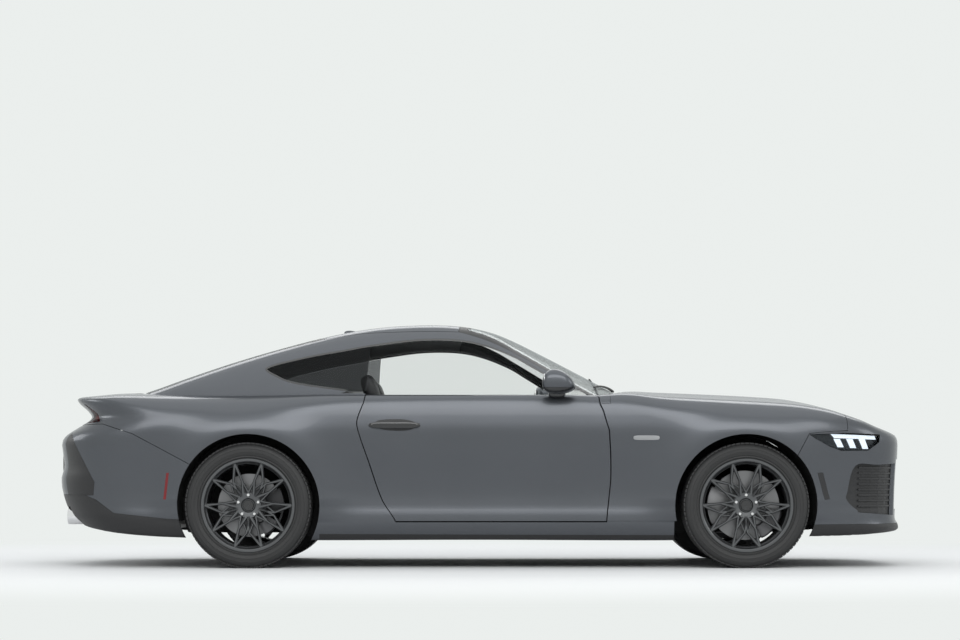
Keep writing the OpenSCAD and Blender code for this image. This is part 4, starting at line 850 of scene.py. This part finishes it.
def wheel_parts():
    lip = [(RIM_R - 2, RIM_HALF), (RIM_R, RIM_HALF - 3), (RIM_R - 1, RIM_HALF - 8),
        (RIM_R - 13, RIM_HALF - 22), (RIM_R - 20, RIM_HALF - 40), (RIM_R - 22, -RIM_HALF + 30),
        (RIM_R - 6, -RIM_HALF + 8), (RIM_R - 2, -RIM_HALF), (RIM_R - 14, -RIM_HALF + 1),
        (RIM_R - 32, -RIM_HALF + 30), (RIM_R - 34, RIM_HALF - 60), (RIM_R - 30, RIM_HALF - 22),
        (RIM_R - 20, RIM_HALF - 12), (RIM_R - 17, RIM_HALF - 3), (RIM_R - 13, RIM_HALF)]
    hub = [(0.2, 60), (64, 60), (72, 66), (74, 82), (68, 88), (40, 84), (34, 78), (0.2, 78)]
    star = grown_by(spokes(), RING, Count=5, Material=ALLOY)
    rim = joined("rim", [turned("lip", lip), star, turned("hub", hub, 60)])
    bolt_circle = 57.15
    corners = [(p[0], y, p[1] + bolt_circle) for y, r in ((80, 11.5), (94, 11.5), (98, 8))
        for p in [polar(r, a) for a in range(0, 360, 60)]]
    nut = raw("nut", corners, [[0, 1, 2, 3, 4, 5], [17, 16, 15, 14, 13, 12]] + bands(3, 6))
    nut = grown_by(nut, RING, Count=5, Material=CHROME)
    cap = turned("cap", [(0.2, 74), (30, 74), (31, 86), (27, 91), (0.2, 93)], 48)
    g = 6                     # depth of the tread's grooves
    tyre = turned("tyre", [(RIM_R - 10, 104), (RIM_R + 1, 112), (RIM_R + 7, 118), (RIM_R + 14, 117),
        (RIM_R + 17, 121.5), (RIM_R + 34, TYRE_HALF - 0.5), (RIM_R + 36, TYRE_HALF - 2),
        (RIM_R + 50, TYRE_HALF - 2.2), (RIM_R + 52, TYRE_HALF - 0.6), (RIM_R + 62, TYRE_HALF - 3.5),
        (RIM_R + 70, 118.5), (RIM_R + 75, 113), (TYRE_R - 8, 108), (TYRE_R - 8, 76), (TYRE_R - 1, 74),
        (TYRE_R, 70), (TYRE_R, 52), (TYRE_R - g, 50), (TYRE_R - g, 40), (TYRE_R, 38), (TYRE_R, 7),
        (TYRE_R - g, 5), (TYRE_R - g, -5), (TYRE_R, -7), (TYRE_R, -38), (TYRE_R - g, -40),
        (TYRE_R - g, -50), (TYRE_R, -52), (TYRE_R, -70), (TYRE_R - 1, -74), (TYRE_R - 8, -76),
        (TYRE_R - 8, -108), (RIM_R + 75, -113), (RIM_R + 62, -TYRE_HALF + 3.5),
        (RIM_R + 36, -TYRE_HALF + 1), (RIM_R + 14, -117), (RIM_R, -111), (RIM_R - 10, -104),
        (RIM_R - 16, -90), (RIM_R + 10, -84), (TYRE_R - 20, -80), (TYRE_R - 20, 80), (RIM_R + 10, 84),
        (RIM_R - 16, 90)], 180)
    blocks = grown_by(tread_block(), RING, Count=84, Material=ALLOY)
    inner = mirrored(blocks, "inner_blocks")
    tyre = joined("tyre", [tyre, blocks, inner])
    return rim, nut, cap, tyre
def rubber():
    m = Mat("tyre_rubber")
    dust = m.noise(22, 4.0, 0.6)
    return m.finish(Base_Color=m.blend(dust * 0.6, (0.014, 0.014, 0.0145), (0.030, 0.030, 0.030)),
        Roughness=0.62 + (dust - 0.5) * 0.2, Normal=m.bump(m.noise(500, 2.0), 0.12, 0.0004))
RUBBER = rubber()
def at(obj, name, x, y, side):
    new = copy(obj, name)
    move_points(new, points(new) * (1, side, 1) + np.array([x, y * side, WHEEL_Z]) * MM)
    if side < 0:
        new.data.flip_normals()
    new.data.update()
    return new
DRAWN = dict(zip(("rim", "nuts", "cap", "tyre"), wheel_parts()))
print({k: len(o.data.polygons) for k, o in DRAWN.items()})

# %% [markdown]
# Behind the spokes sit a ventilated steel disc, which turns with the wheel, and a caliper, which
# does not: it is bolted to the knuckle in front and to the body's axle carrier behind.

# %% Brakes, and the four wheels
def disc(radius, y0):
    corners = ((-3, y0 + 8), (3, y0 + 8), (3, y0 + 22), (-3, y0 + 22))
    vents = raw("vent", [(x, y, z) for z in (100, radius - 6) for x, y in corners], SIX_FACES)
    vents = grown_by(vents, RING, Count=48, Material=DISC)
    faces = [turned("face", [(84, y0 + a), (radius, y0 + a), (radius, y0 + b), (84, y0 + b)], 96)
        for a, b in ((0, 9), (21, 30))]
    hat = turned("hat", [(78, y0 + 4), (86, y0 + 4), (86, y0 + 52), (80, y0 + 55.5), (30, y0 + 55.5),
        (30, y0 + 52), (78, y0 + 50)], 72)
    return joined("disc", [vents, *faces, hat])
def caliper(radius, y0):
    rows = []
    for a in np.linspace(96, 152, 17):
        e = min((a - 96), (152 - a)) / 6
        k = 0.86 + 0.14 * min(1, e)
        lo, hi, out, inn = radius - 62 / k, radius + 15 * k, y0 + 30 + 22 * k, y0 - 16 * k
        section = ((lo, out - 6), (lo + 8, out), (hi - 8, out), (hi, out - 8), (hi, inn + 6),
            (hi - 6, inn), (lo, inn), (lo, y0 - 3), (radius + 3, y0 - 3), (radius + 3, y0 + 33),
            (lo, y0 + 33))
        rows += [(polar(r, a)[0], y, polar(r, a)[1]) for r, y in section]
    n = len(section)
    return raw("caliper", rows, bands(len(rows) // n, n) + caps(len(rows) // n, n))
CORNERS = {"front": (FRONT_AXLE, 795, 190, True), "rear": (REAR_AXLE, 808, 173, False)}
for end, (x, y, radius, steers) in CORNERS.items():
    brake, grip = disc(radius, -10), caliper(radius, -10)
    for s, sign in (("left", 1), ("right", -1)):
        name, wheel = f"{end}_{s}", f"{end}_{s}_wheel"
        for kind, material, nodes in (("rim", ALLOY, [name + "_rim"]), ("nuts", CHROME, []),
                ("cap", GLOSS, []), ("tyre", RUBBER, [name + "_tyre"])):
            wear(at(DRAWN[kind], f"{name}_{kind}_detailed", x, y, sign), material, wheel, 32, *nodes)
        wear(at(brake, f"{name}_disc", x, y, sign), DISC, wheel, 30)
        wear(at(grip, f"{name}_caliper", x, y, sign), CALIPER, f"{name}_knuckle" if steers else "body", 30)
    drop(brake, grip)
drop(*DRAWN.values())
print("wheels done")

# %% [markdown]
# A lamp is a black housing behind a clear cover, with bright bars between them. All three are cut
# from nested body skins by outlines in side view: the cover is the outer 6 mm, the bars lie under
# it, and the housing fills what is behind.

# %% Headlamps, side intakes, side markers and tail lamps
def bright(name, colour, strength):
    m = Mat(name)
    cells = m.node("ShaderNodeTexVoronoi", {}, {"Vector": m.place(), "Scale": 120})
    return m.finish(Base_Color=m.blend(cells * 0.3, colour, tuple(c * 0.8 for c in colour)),
        Roughness=0.2 + cells * 0.1, Emission_Color=colour, Emission_Strength=strength, Coat_Weight=0.5)
WHITE_BAR = bright("lamp_white", (0.88, 0.92, 0.96), 0.8)
RED_BAR = bright("lamp_red", (0.42, 0.006, 0.008), 0.25)
RED_LENS = glass("red_lens", (0.55, 0.02, 0.02), 0.0, 0.03)
def layer(name, outer, inner, keep, remove=(), normals=True, twin=True):
    "The part of the body between two skins, inside the keep shapes and outside the others."
    obj = copy(SKIN[outer] if isinstance(outer, str) else outer, name)
    cut(obj, keep=keep, remove=[SKIN[inner], *remove])
    if twin:
        whole(obj)
    if normals:
        true_normals(obj, [LOW], 1.5)
    return obj
BAR_TOP = [[1915, 733], [2172, 725], [2180, 704], [1936, 711]]
BARS = [[[1932 + dx, 707], [1968 + dx, 706], [1990 + dx, 661 - dx * 0.06], [1956 + dx, 661 - dx * 0.06]]
    for dx in (0, 72, 144)]
lamp_out = block(1700, 2600, 470, 1200, 500, 900)
cover = layer("headlamp_covers", "low", "low6", [side(HEADLAMP, -1), lamp_out])
bars = None
for outline in (BAR_TOP, *BARS):
    one = layer("bar", "low14", "low22", [side(outline), lamp_out], normals=False)
    bars = one if bars is None else joined("headlamp_bars", [bars, one])
bowl = layer("headlamp_housings", "low22", "low84", [side(HEADLAMP, -2), lamp_out], normals=False)
wear(cover, LENS, "body", None, "headlamps")
wear(bars, WHITE_BAR, "body")
wear(bowl, GLOSS, "body")
vents = layer("side_intake_vents", "low22", "low84", [side(rounded(INTAKE, 5), -1, 560)], normals=False)
wear(vents, BLACK, "body")
def slat(z):
    return side([[2080, z], [2600, z], [2600, z + 9], [2080, z + 9]], 0, 596)
fins = [layer("fin", "low14", "low22", [slat(z)], normals=False) for z in range(335, 560, 30)]
wear(joined("side_intake_fins", fins), BLACK, "body", 30)
RED_MARKER = [[-1713, 520], [-1698, 521], [-1716, 375], [-1731, 376]]
wear(layer("front_side_markers", "low", "low6", [side(MARKER, -0.5, 700)]), BLACK, "body")
wear(layer("rear_side_reflectors", GROWN, "low6", [side(RED_MARKER, 0, 700)]),
    plastic("dark_red_lens", (0.15, 0.006, 0.008), 0.25, 500, 0.1), "body")
tail_out = block(-2600, -2090, 596, 1200, 700, 1000)
TAIL_BAR = [[-2110, 822], [-2600, 812], [-2600, 836], [-2122, 842]]
cover = layer("tail_lamp_covers", "low", "low6", [side(TAIL_LAMP, -1), tail_out])
bars = layer("tail_lamp_bars", "low14", "low22", [side(TAIL_BAR), tail_out], normals=False)
bowl = layer("tail_lamp_housings", "low22", "low84", [side(TAIL_LAMP, -2), tail_out], normals=False)
wear(cover, RED_LENS, "body", None, "tail_lamps")
wear(bars, RED_BAR, "body")
wear(bowl, GLOSS, "body")
print("lamps ready")

# %% [markdown]
# The grille is a net of small six-sided rings. Its points are worked out on the nose's own curve,
# and the copies are laid on them by the second tree, so the net bends with the bumper.

# %% Grille net
def hexagon(outer, inner, deep):
    v = [(y, r * math.cos(math.radians(a)), r * math.sin(math.radians(a))) for y in (0, -deep)
        for r in (outer, inner) for a in range(0, 360, 60)]
    f = []
    for i in range(6):
        k = (i + 1) % 6
        f += [[i, k, k + 6, i + 6], [12 + k, 12 + i, 18 + i, 18 + k], [i, 12 + i, 12 + k, k],
            [6 + k, 18 + k, 18 + i, 6 + i]]
    return raw("hexagon", v, f)
cell, spots = hexagon(15, 12, 14), []
for row in range(19):
    for col in range(-24, 25):
        y, z = col * 23.0, 324 + row * 14.0
        if (row + col) % 2 == 0 and abs(y) < 548:
            spots.append((float(curve(NOSE, z)) - float(sweep(y)) - 14, y, z))
net = raw("grille_net", spots, [])
net = grown_by(net, SPOTS, Copy=cell, Size=1.0, Material=GLOSS)
wear(net, GLOSS, "body")
def bowed(name, z, tall, inset, deep, half):
    v, steps = [], 40
    for y in np.linspace(-half, half, steps):
        x = float(curve(NOSE, z)) - float(sweep(y)) - inset
        v += [(x, y, z - tall/2), (x, y, z + tall/2), (x - deep, y, z + tall/2), (x - deep, y, z - tall/2)]
    return raw(name, v, bands(steps, 4) + caps(steps, 4))
GRILLE_BARS = ((470, 24), (330, 12), (590, 12))
bars = joined("grille_bars", [bowed("b", z, tall, 8, 24, 552) for z, tall in GRILLE_BARS])
wear(bars, GLOSS, "body", 30)
print("grille cells", len(spots))

# %% [markdown]
# A superellipsoid is a ball pushed towards a box: with two powers it gives every rounded shape
# between the two. It makes the mirror shells, the door handles and the small caps.

# %% Mirrors, handles, fin and wipers
def pebble(name, centre, half, power=(0.7, 0.7), steps=(36, 18), warp=None):
    nu, nv = steps
    v = []
    sgn = lambda t, p: math.copysign(abs(t) ** p, t)
    for j in range(1, nv):
        b = -math.pi/2 + math.pi * j / nv
        for i in range(nu):
            a = 2 * math.pi * i / nu
            flat = sgn(math.cos(b), power[1])
            p = np.array([flat * sgn(math.cos(a), power[0]), flat * sgn(math.sin(a), power[0]),
                sgn(math.sin(b), power[1])])
            if warp:
                p = warp(p)
            v.append(tuple(np.array(centre) + p * np.array(half)))
    poles = [np.array([0, 0, -1.0]), np.array([0, 0, 1.0])]
    if warp:
        poles = [warp(p) for p in poles]
    v += [tuple(np.array(centre) + p * np.array(half)) for p in poles]
    s, n = len(v) - 2, len(v) - 1
    last = (nv - 2) * nu
    f = bands(nv - 1, nu) + [[s, (i+1) % nu, i] for i in range(nu)]
    return raw(name, v, f + [[n, last + i, last + (i+1) % nu] for i in range(nu)])
def both_sides(left, material, body, smooth=60, *nodes):
    right = mirrored(left, left.name.replace("left", "right"))
    for o, s in ((left, "left"), (right, "right")):
        wear(o, material, body.replace("left", s), smooth, *[n.replace("left", s) for n in nodes])
def mirror_warp(p):
    x, y, z = p
    return np.array([x * (1.0 - 0.22 * z) - 0.10 * z - 0.12 * y, y,
        z * (1.0 - 0.25 * max(x, 0)) + 0.05 * y])
shell = pebble("left_mirror_shell", (426, 944, 1016), (84, 84, 68), (0.55, 0.75), (56, 28), mirror_warp)
base = copy(shell, "left_mirror_base")
cut(shell, keep=[block(300, 600, 800, 1100, 984, 1100)])
cut(base, keep=[block(300, 600, 800, 1100, 900, 983)])
cut(base, add=[pebble("stalk", (420, 876, 958), (46, 36, 26), (0.6, 0.6))])
pane = pebble("left_mirror_glass", (348, 946, 1016), (4, 66, 44), (0.6, 0.6))
both_sides(shell, PAINT, "left_door", 50, "left_mirror")
both_sides(base, GLOSS, "left_door", 50)
both_sides(pane, CHROME, "left_door", 50)
def handle():
    x0, x1, z = -609, -326, 781
    mid = (x0 + x1) / 2
    out = float(side_y(mid, z))
    grip = pebble("left_door_handle", (mid, out + 16, z), ((x1 - x0) / 2, 9, 19), (0.35, 0.7), (64, 14),
        lambda p: np.array([p[0], p[1] - 1.6 * p[0]**4, p[2]]))
    cup = pebble("left_handle_cup", (mid, out - 2, z), (118, 6, 33), (0.7, 0.8), (48, 12))
    feet = [pebble("foot", (x, out + 4, z), (24, 14, 12), (0.7, 0.7), (24, 10)) for x in (x0 + 30, x1 - 30)]
    return cut(grip, add=feet), cup
grip, cup = handle()
grip.name = "left_door_handle"
both_sides(grip, GLOSS, "left_door", 50)
both_sides(cup, BLACK, "left_door", 50)
FIN_X = -735
fin_z = float(roof_z(FIN_X, 0))
fin = pebble("roof_fin", (FIN_X, 0, fin_z - 4), (52, 14, 26), (1.0, 1.0), (40, 20),
    lambda p: np.array([p[0] - 0.55 * max(p[2], 0), p[1] * (1 - 0.6 * max(p[2], 0)), p[2]]))
cut(fin, remove=[block(-2000, 0, -200, 200, 0, fin_z - 16)])
wear(fin, PAINT, "body", 60)
def wiper(name, heel, tip):
    v, n = [], 24
    heel, tip = np.array(heel, float), np.array(tip, float)
    for t in np.linspace(0, 1, n):
        x, y = heel + (tip - heel) * t
        z = float(roof_z(x, y))
        w = 7 - 3 * t
        v += [(x - w, y, z + 6), (x - w, y, z + 17), (x + w, y, z + 15), (x + w, y, z + 5)]
    return raw(name, v, bands(n, 4) + caps(n, 4))
blades = joined("wipers", [wiper("w", (735, 560), (640, 20)), wiper("w", (775, -40), (640, -560))])
wear(blades, BLACK, "body", 30)
print("mirrors and handles ready")

# %% [markdown]
# A black band frames the side windows and hides the glue of the quarter glass. It is cut from the
# same shell as the glass, so that it lies flush.

# %% Window band, exhaust tips, bare badge and sill trims
band = over("left_window_band", "up5", [side(rounded(WINDOWS), -0.5)], [side(rounded(WINDOWS), -10), GROWN,
    block(-700, 700, 0, 1200, 900, 976)], False)
for o in (band, pair(band, GLOSS, "body")):
    lined(o, INSIDE)
tips = []
for y in (-530, -430, 430, 530):
    tip = turned("tip", [(38, -40), (44.5, -38), (46, -10), (46, 148), (44, 152), (40, 150), (39, 140),
        (38, 0)], 48)
    co = points(tip) / MM
    move_points(tip, np.stack([-2160 - co[:, 1], y + co[:, 0], 280 + co[:, 2]], -1) * MM)
    tips.append(tip)
tips = joined("exhaust_tips", tips)
bm = bmesh.new()
bm.from_mesh(tips.data)
bmesh.ops.recalc_face_normals(bm, faces=bm.faces[:])
bm.to_mesh(tips.data)
bm.free()
wear(tips, CHROME, "body", 40)
badge_y = float(side_y(900, 712))
both_sides(pebble("left_fender_badge", (908, badge_y + 2, 712), (72, 3, 13), (0.3, 0.5), (40, 10)),
    plastic("badge_grey", (0.26, 0.265, 0.27), 0.42, 900, 0.1), "body", 50)
SILL = [[-880, 100], [-880, 186], [0, 182], [1062, 180], [1062, 100]]
wear(layer("sill_trims", GROWN, "low6", [side(SILL, 0, 600)], ARCH), BLACK, "body")
print("trim ready")

# %% [markdown]
# What the frame already draws well, such as the floor, arms, engine and exhaust, keeps its shape. A
# copy is merged and its edges are rounded with a bevel, since real castings and mouldings have no
# sharp corners, and it takes a finished material in place of the plain one.

# %% Chassis, engine and cabin mouldings from the frame
def refined(node, material, body, width=0, smooth=35):
    obj = copy(frame["nodes"][node], node + "_finished")
    bm = bmesh.new()
    bm.from_mesh(obj.data)
    bmesh.ops.remove_doubles(bm, verts=bm.verts[:], dist=0.00005)
    bmesh.ops.dissolve_limit(bm, angle_limit=math.radians(2), verts=bm.verts[:], edges=bm.edges[:])
    bm.to_mesh(obj.data)
    bm.free()
    if width:
        mod = obj.modifiers.new("round", "BEVEL")
        mod.width, mod.segments = width * MM, 2
        mod.limit_method, mod.angle_limit = "ANGLE", math.radians(40)
        baked(obj)
    return wear(obj, material, body, smooth, node)
def leather(name, colour):
    m = Mat(name)
    cells = m.node("ShaderNodeTexVoronoi", {"feature": "DISTANCE_TO_EDGE"}, {"Vector": m.place(),
        "Scale": 320})
    worn = m.noise(9, 4.0, 0.6)
    return m.finish(Base_Color=m.blend(worn * 0.6, colour, tuple(c * 1.7 for c in colour)),
        Roughness=0.5 + (worn - 0.5) * 0.2, Normal=m.bump(cells, 0.35, 0.0006))
LEATHER = leather("seat_leather", (0.020, 0.020, 0.022))
CARPET = plastic("floor_carpet", (0.018, 0.018, 0.019), 0.95, 1400, 0.9)
FINISHES = (("dashboard", TRIM, 12), ("steering_wheel", LEATHER, 0, 50), ("parcel_shelf", TRIM, 4),
    ("floor_pan", CARPET, 3), ("arch_liners", LINER, 0, 40), ("cowl", BLACK, 0, 30),
    ("plate_holder", BLACK, 1), ("grille", LINER, 0, 30), ("front_subframe", STEEL, 2),
    ("rear_subframe", STEEL, 2), ("engine", CASTING, 10), ("exhaust", PIPE, 3, 50))
for node, material, *edges in FINISHES:
    mould = refined(node, material, node if node == "steering_wheel" else "body", *edges)
    if node == "grille":
        mould.data.transform(Matrix.Translation((-0.036, 0, 0)))      # stands back, behind the net
def arch_wall(axle, y, hole):
    bore = prism(ring_of(axle, hole, 96), "y", y - 20, y + 20)
    wall = cut(prism(ring_of(axle, ARCH_R + 2, 96, 190), "y", y - 4, y), remove=[bore])
    drop(bore)
    return wall
tyre_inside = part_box("rear_left_tyre")[0][1] / MM
both_sides(joined("left_arch_walls", [arch_wall(FRONT_AXLE, 484, 150),
    arch_wall(REAR_AXLE, tyre_inside - 40, 130)]), LINER, "body", 30)
for s in ("left", "right"):
    refined(f"front_{s}_knuckle", CASTING, f"front_{s}_knuckle", 1.5, 45)
print("chassis and mouldings ready")

# %% [markdown]
# Inside, every panel has a trim moulding. The trims are deeper layers of the same skins: the door
# trim fills the door's inner depth, the pillar trims stand round the opening, and the headliner
# hangs under the roof.

# %% Door trims, pillar trims and headliner
def inside(name, keep, remove=()):
    return layer(name, "low22", "low84", keep, remove, normals=False, twin=False)
door_trim = inside("left_door_trim", [DOOR, block(-900, 900, 600, 1200, 262, 940)])
cut(door_trim, add=[pebble("rest", (-60, float(side_y(-60, 560)) - 78, 560), (230, 34, 26), (0.4, 0.6),
    (48, 14))])
cut(door_trim, keep=[block(-600, 600, 600, 1200, 262, 940)])
both_sides(door_trim, TRIM, "left_door", 40)
pocket = pebble("left_door_speaker", (440, float(side_y(440, 360)) - 86, 380), (86, 5, 86), (1, 0.6),
    (48, 12))
both_sides(pocket, BLACK, "left_door", 50)
pillar_trim = inside("left_pillar_trim", [cut(block(-1000, -400, 600, 1200, 262, 930),
    add=[block(560, 790, 600, 1200, 262, 930)])], [AROUND, *ARCH])
both_sides(pillar_trim, TRIM, "body", 40)
lining = Mat("headliner_cloth")
weave = lining.noise(700, 2.0)
HEADLINER = lining.finish(Base_Color=lining.blend(weave, (0.035, 0.035, 0.037), (0.06, 0.06, 0.063)),
    Roughness=0.9 + weave * 0.05, Normal=lining.bump(weave, 0.4, 0.0006))
headliner = copy(SKIN["up42"], "headliner")
cut(headliner, keep=[block(-1300, 60, -50, 1200, 1130, 1500)], remove=[SKIN["up50"], window_hole,
    plan(WINDSHIELD, 6, 900), plan(BACKLIGHT, 6, 900)])
whole(headliner)
wear(headliner, HEADLINER, "body", 40)
print("cabin trims ready")

# %% [markdown]
# A seat cushion is foam in a sewn cover. Its block-out is a few rounded lumps in one voxel mesh,
# and cloth pressure swells it, so that the sides pull in between the corners. How far a point may
# move is capped.

# %% Padded cushions by cloth simulation
SEATX, SEATY, SEATZ = -160, 402, 210.3
CLOTH_FRAMES, CLOTH_PRESSURE, SEAT_LEAN = 12, 4.0, 20
def pillow(name, lumps, voxel=7, cap=24, turn=None):
    "Lumps joined and evened, swelled by cloth pressure up to cap millimetres, smoothed and leaned."
    obj = lumps[0]
    cut(obj, add=lumps[1:])
    drop(*lumps[1:])
    obj.name = obj.data.name = name
    mod = obj.modifiers.new("even", "REMESH")
    mod.mode, mod.voxel_size = "VOXEL", voxel * MM
    baked(obj)
    start = points(obj)
    sim = obj.modifiers.new("swell", "CLOTH")
    sim.settings.use_pressure, sim.settings.uniform_pressure_force = True, CLOTH_PRESSURE
    sim.settings.effector_weights.gravity = 0
    sim.settings.quality = 3
    sim.point_cache.frame_start, sim.point_cache.frame_end = 1, CLOTH_FRAMES
    for frame_no in range(1, CLOTH_FRAMES + 1):
        scene.frame_set(frame_no)
    baked(obj)
    scene.frame_set(1)
    move = points(obj) - start
    size = np.linalg.norm(move, axis=1)
    move *= (np.minimum(size, cap * MM) / np.maximum(size, 1e-9))[:, None]
    move_points(obj, start + move)
    mod = obj.modifiers.new("soft", "SMOOTH")
    mod.factor, mod.iterations = 0.5, 4
    baked(obj)
    if turn:
        angle, pivot = turn[0], Vector(turn[1]) * MM
        lean = Matrix.Rotation(math.radians(angle), 4, "Y")
        obj.data.transform(Matrix.Translation(pivot) @ lean @ Matrix.Translation(-pivot))
    return obj
def lump(centre, half, power=(0.35, 0.45)):
    return pebble("lump", centre, half, power, (40, 20))
def front_seat():
    x, y, z = SEATX, SEATY, SEATZ
    base = pillow("base", [lump((x + 20, y, z + 130), (228, 150, 52))]
        + [lump((x + 10, y + s * 192, z + 140), (226, 40, 62), (0.5, 0.7)) for s in (-1, 1)])
    pivot = (x - 215, y, z + 120)
    spine = pillow("spine", [lump((x - 205, y, z + 400), (44, 150, 268))]
        + [lump((x - 186, y + s * 186, z + 370), (56, 38, 232), (0.6, 0.6)) for s in (-1, 1)],
        turn=(-SEAT_LEAN, pivot))
    head = pillow("head", [lump((x - 218, y, z + 832), (40, 112, 78), (0.5, 0.5))], cap=12,
        turn=(-SEAT_LEAN, pivot))
    plinth = pebble("plinth", (x, y, z + 50), (226, 188, 46), (0.2, 0.4))
    posts = [turned("post", [(0.2, -50), (5, -50), (5, 50), (0.2, 50)], 16) for _ in (0, 1)]
    for o, dy in zip(posts, (-50, 50)):
        a, up = math.radians(SEAT_LEAN), 640
        o.data.transform(Matrix.Rotation(-a, 4, "Y") @ Matrix.Rotation(math.radians(90), 4, "X"))
        top = Vector((pivot[0] - math.sin(a) * up, y + dy, pivot[2] + math.cos(a) * up))
        o.data.transform(Matrix.Translation(top * MM))
    return base, spine, head, plinth, joined("posts", posts)
base, spine, head, plinth, posts = front_seat()
for s, sign in (("driver", 1), ("passenger", -1)):
    for part, label, material in ((base, "cushion", LEATHER), (spine, "backrest", LEATHER),
            (head, "headrest", LEATHER), (plinth, "base", TRIM), (posts, "headrest_posts", CHROME)):
        name = f"{s}_{label}"
        o = copy(part, name) if sign > 0 else mirrored(part, name)
        wear(o, material, "body", 80)
        label in ("cushion", "backrest", "headrest")
        if label == "base":
            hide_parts(s + "_seat")
drop(base, spine, head, plinth, posts)
rear_base = pillow("rear_seat_cushion", [lump((-846, s * 322, 372), (96, 152, 84)) for s in (-1, 1)]
    + [lump((-850, 0, 436), (80, 168, 24), (0.3, 0.6))], 9)
rear_back = pillow("rear_seat_backrest", [lump((-948, s * 244, 610), (52, 228, 244)) for s in (-1, 1)],
    9, turn=(-24, (-955, 0, 330)))
for o in (rear_base, rear_back):
    wear(o, LEATHER, "body", 80)
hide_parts("rear_seat")
print("seats", len(rear_back.data.polygons))

# %% [markdown]
# The finishing touches of the scene: a pale floor that keeps the car's shadow, a pale backdrop
# that is seen straight on, in reflections and through glass but lights nothing, and wide soft
# lamps, as in a plain studio.

# %% Floor, backdrop and lamps
BACKDROP = (0.83, 0.86, 0.845)
def floor():
    m = Mat("pale_floor")
    near = m.finish(Base_Color=m.blend(m.noise(0.6) * 0.3, (0.80, 0.81, 0.805), (0.83, 0.835, 0.83)),
        Roughness=0.75 + m.noise(2) * 0.05)
    shader = m.out.inputs[0].links[0].from_node
    far = m.node("ShaderNodeEmission", {}, {0: BACKDROP, 1: 1.0})
    away = m.axis(0) * m.axis(0) * 0.028 + (m.axis(1) - 0.5) * (m.axis(1) - 0.5) * 0.05
    rays = ("Camera", "Glossy", "Transmission")
    seen_by = [m.node("ShaderNodeLightPath", out=f"Is {ray} Ray") for ray in rays]
    fade = m.node("ShaderNodeMapRange", {"interpolation_type": "SMOOTHSTEP"}, {0: away, 1: 0.18, 2: 1.5})
    mix = m.node("ShaderNodeMixShader", {}, {0: fade * seen_by[0].most(seen_by[1]).most(seen_by[2]),
        1: Sock(m, shader.outputs[0]), 2: far})
    m.t.links.new(mix.out, m.out.inputs[0])
    return near
ground = raw("floor", [(-60000, -30000, 0), (60000, -30000, 0), (60000, 90000, 0), (-60000, 90000, 0)],
    [[0, 1, 2, 3]])
ground.data.materials.append(floor())
ground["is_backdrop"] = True
world = bpy.data.worlds.new("studio")
scene.world = world
world.use_nodes = True
nt = world.node_tree
nt.nodes.clear()
path, mixer, out, dim, seen, either, any_ray = (nt.nodes.new("ShaderNode" + kind) for kind in ("LightPath",
    "MixShader", "OutputWorld", "Background", "Background", "Math", "Math"))
dim.inputs[0].default_value, dim.inputs[1].default_value = (0.90, 0.95, 1.0, 1), 0.42
seen.inputs[0].default_value, seen.inputs[1].default_value = (*BACKDROP, 1), 1.0
either.operation = any_ray.operation = "MAXIMUM"
linked(nt, (path.outputs["Is Camera Ray"], either.inputs[0]),
    (path.outputs["Is Transmission Ray"], either.inputs[1]), (either.outputs[0], any_ray.inputs[0]),
    (path.outputs["Is Glossy Ray"], any_ray.inputs[1]), (any_ray.outputs[0], mixer.inputs[0]),
    (dim.outputs[0], mixer.inputs[1]), (seen.outputs[0], mixer.inputs[2]),
    (mixer.outputs[0], out.inputs[0]))
def lamp(name, place, aim, wide, tall, watts):
    data = bpy.data.lights.new(name, "AREA")
    data.shape, data.size, data.size_y, data.energy = "RECTANGLE", wide, tall, watts
    obj = bpy.data.objects.new(name, data)
    scene.collection.objects.link(obj)
    obj.location = place
    obj.rotation_euler = (Vector(aim) - Vector(place)).to_track_quat("-Z", "Y").to_euler()
for name, place, aim_z, wide, tall, watts in (("overhead", (0, 0, 7.0), 0, 11, 8, 190),
        ("right_side", (0, -8, 5.2), 0.7, 12, 4.0, 470), ("left_side", (0, 8, 6.6), 0.7, 12, 3.4, 330),
        ("front", (9, -2, 4.0), 0.6, 4, 3, 110), ("rear", (-9, 2, 4.0), 0.6, 4, 3, 110)):
    lamp(name, place, (0, 0, aim_z), wide, tall, watts)
print("stage and lamps ready")

# %% [markdown]
# The cutting shapes have done their work and go.

# %% Clear the cutting shapes and finish
for o in list(scene.objects):
    if o.type == "MESH" and o.name not in frame["nodes"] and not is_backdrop(o) and body_of(o) is None:
        drop(o)
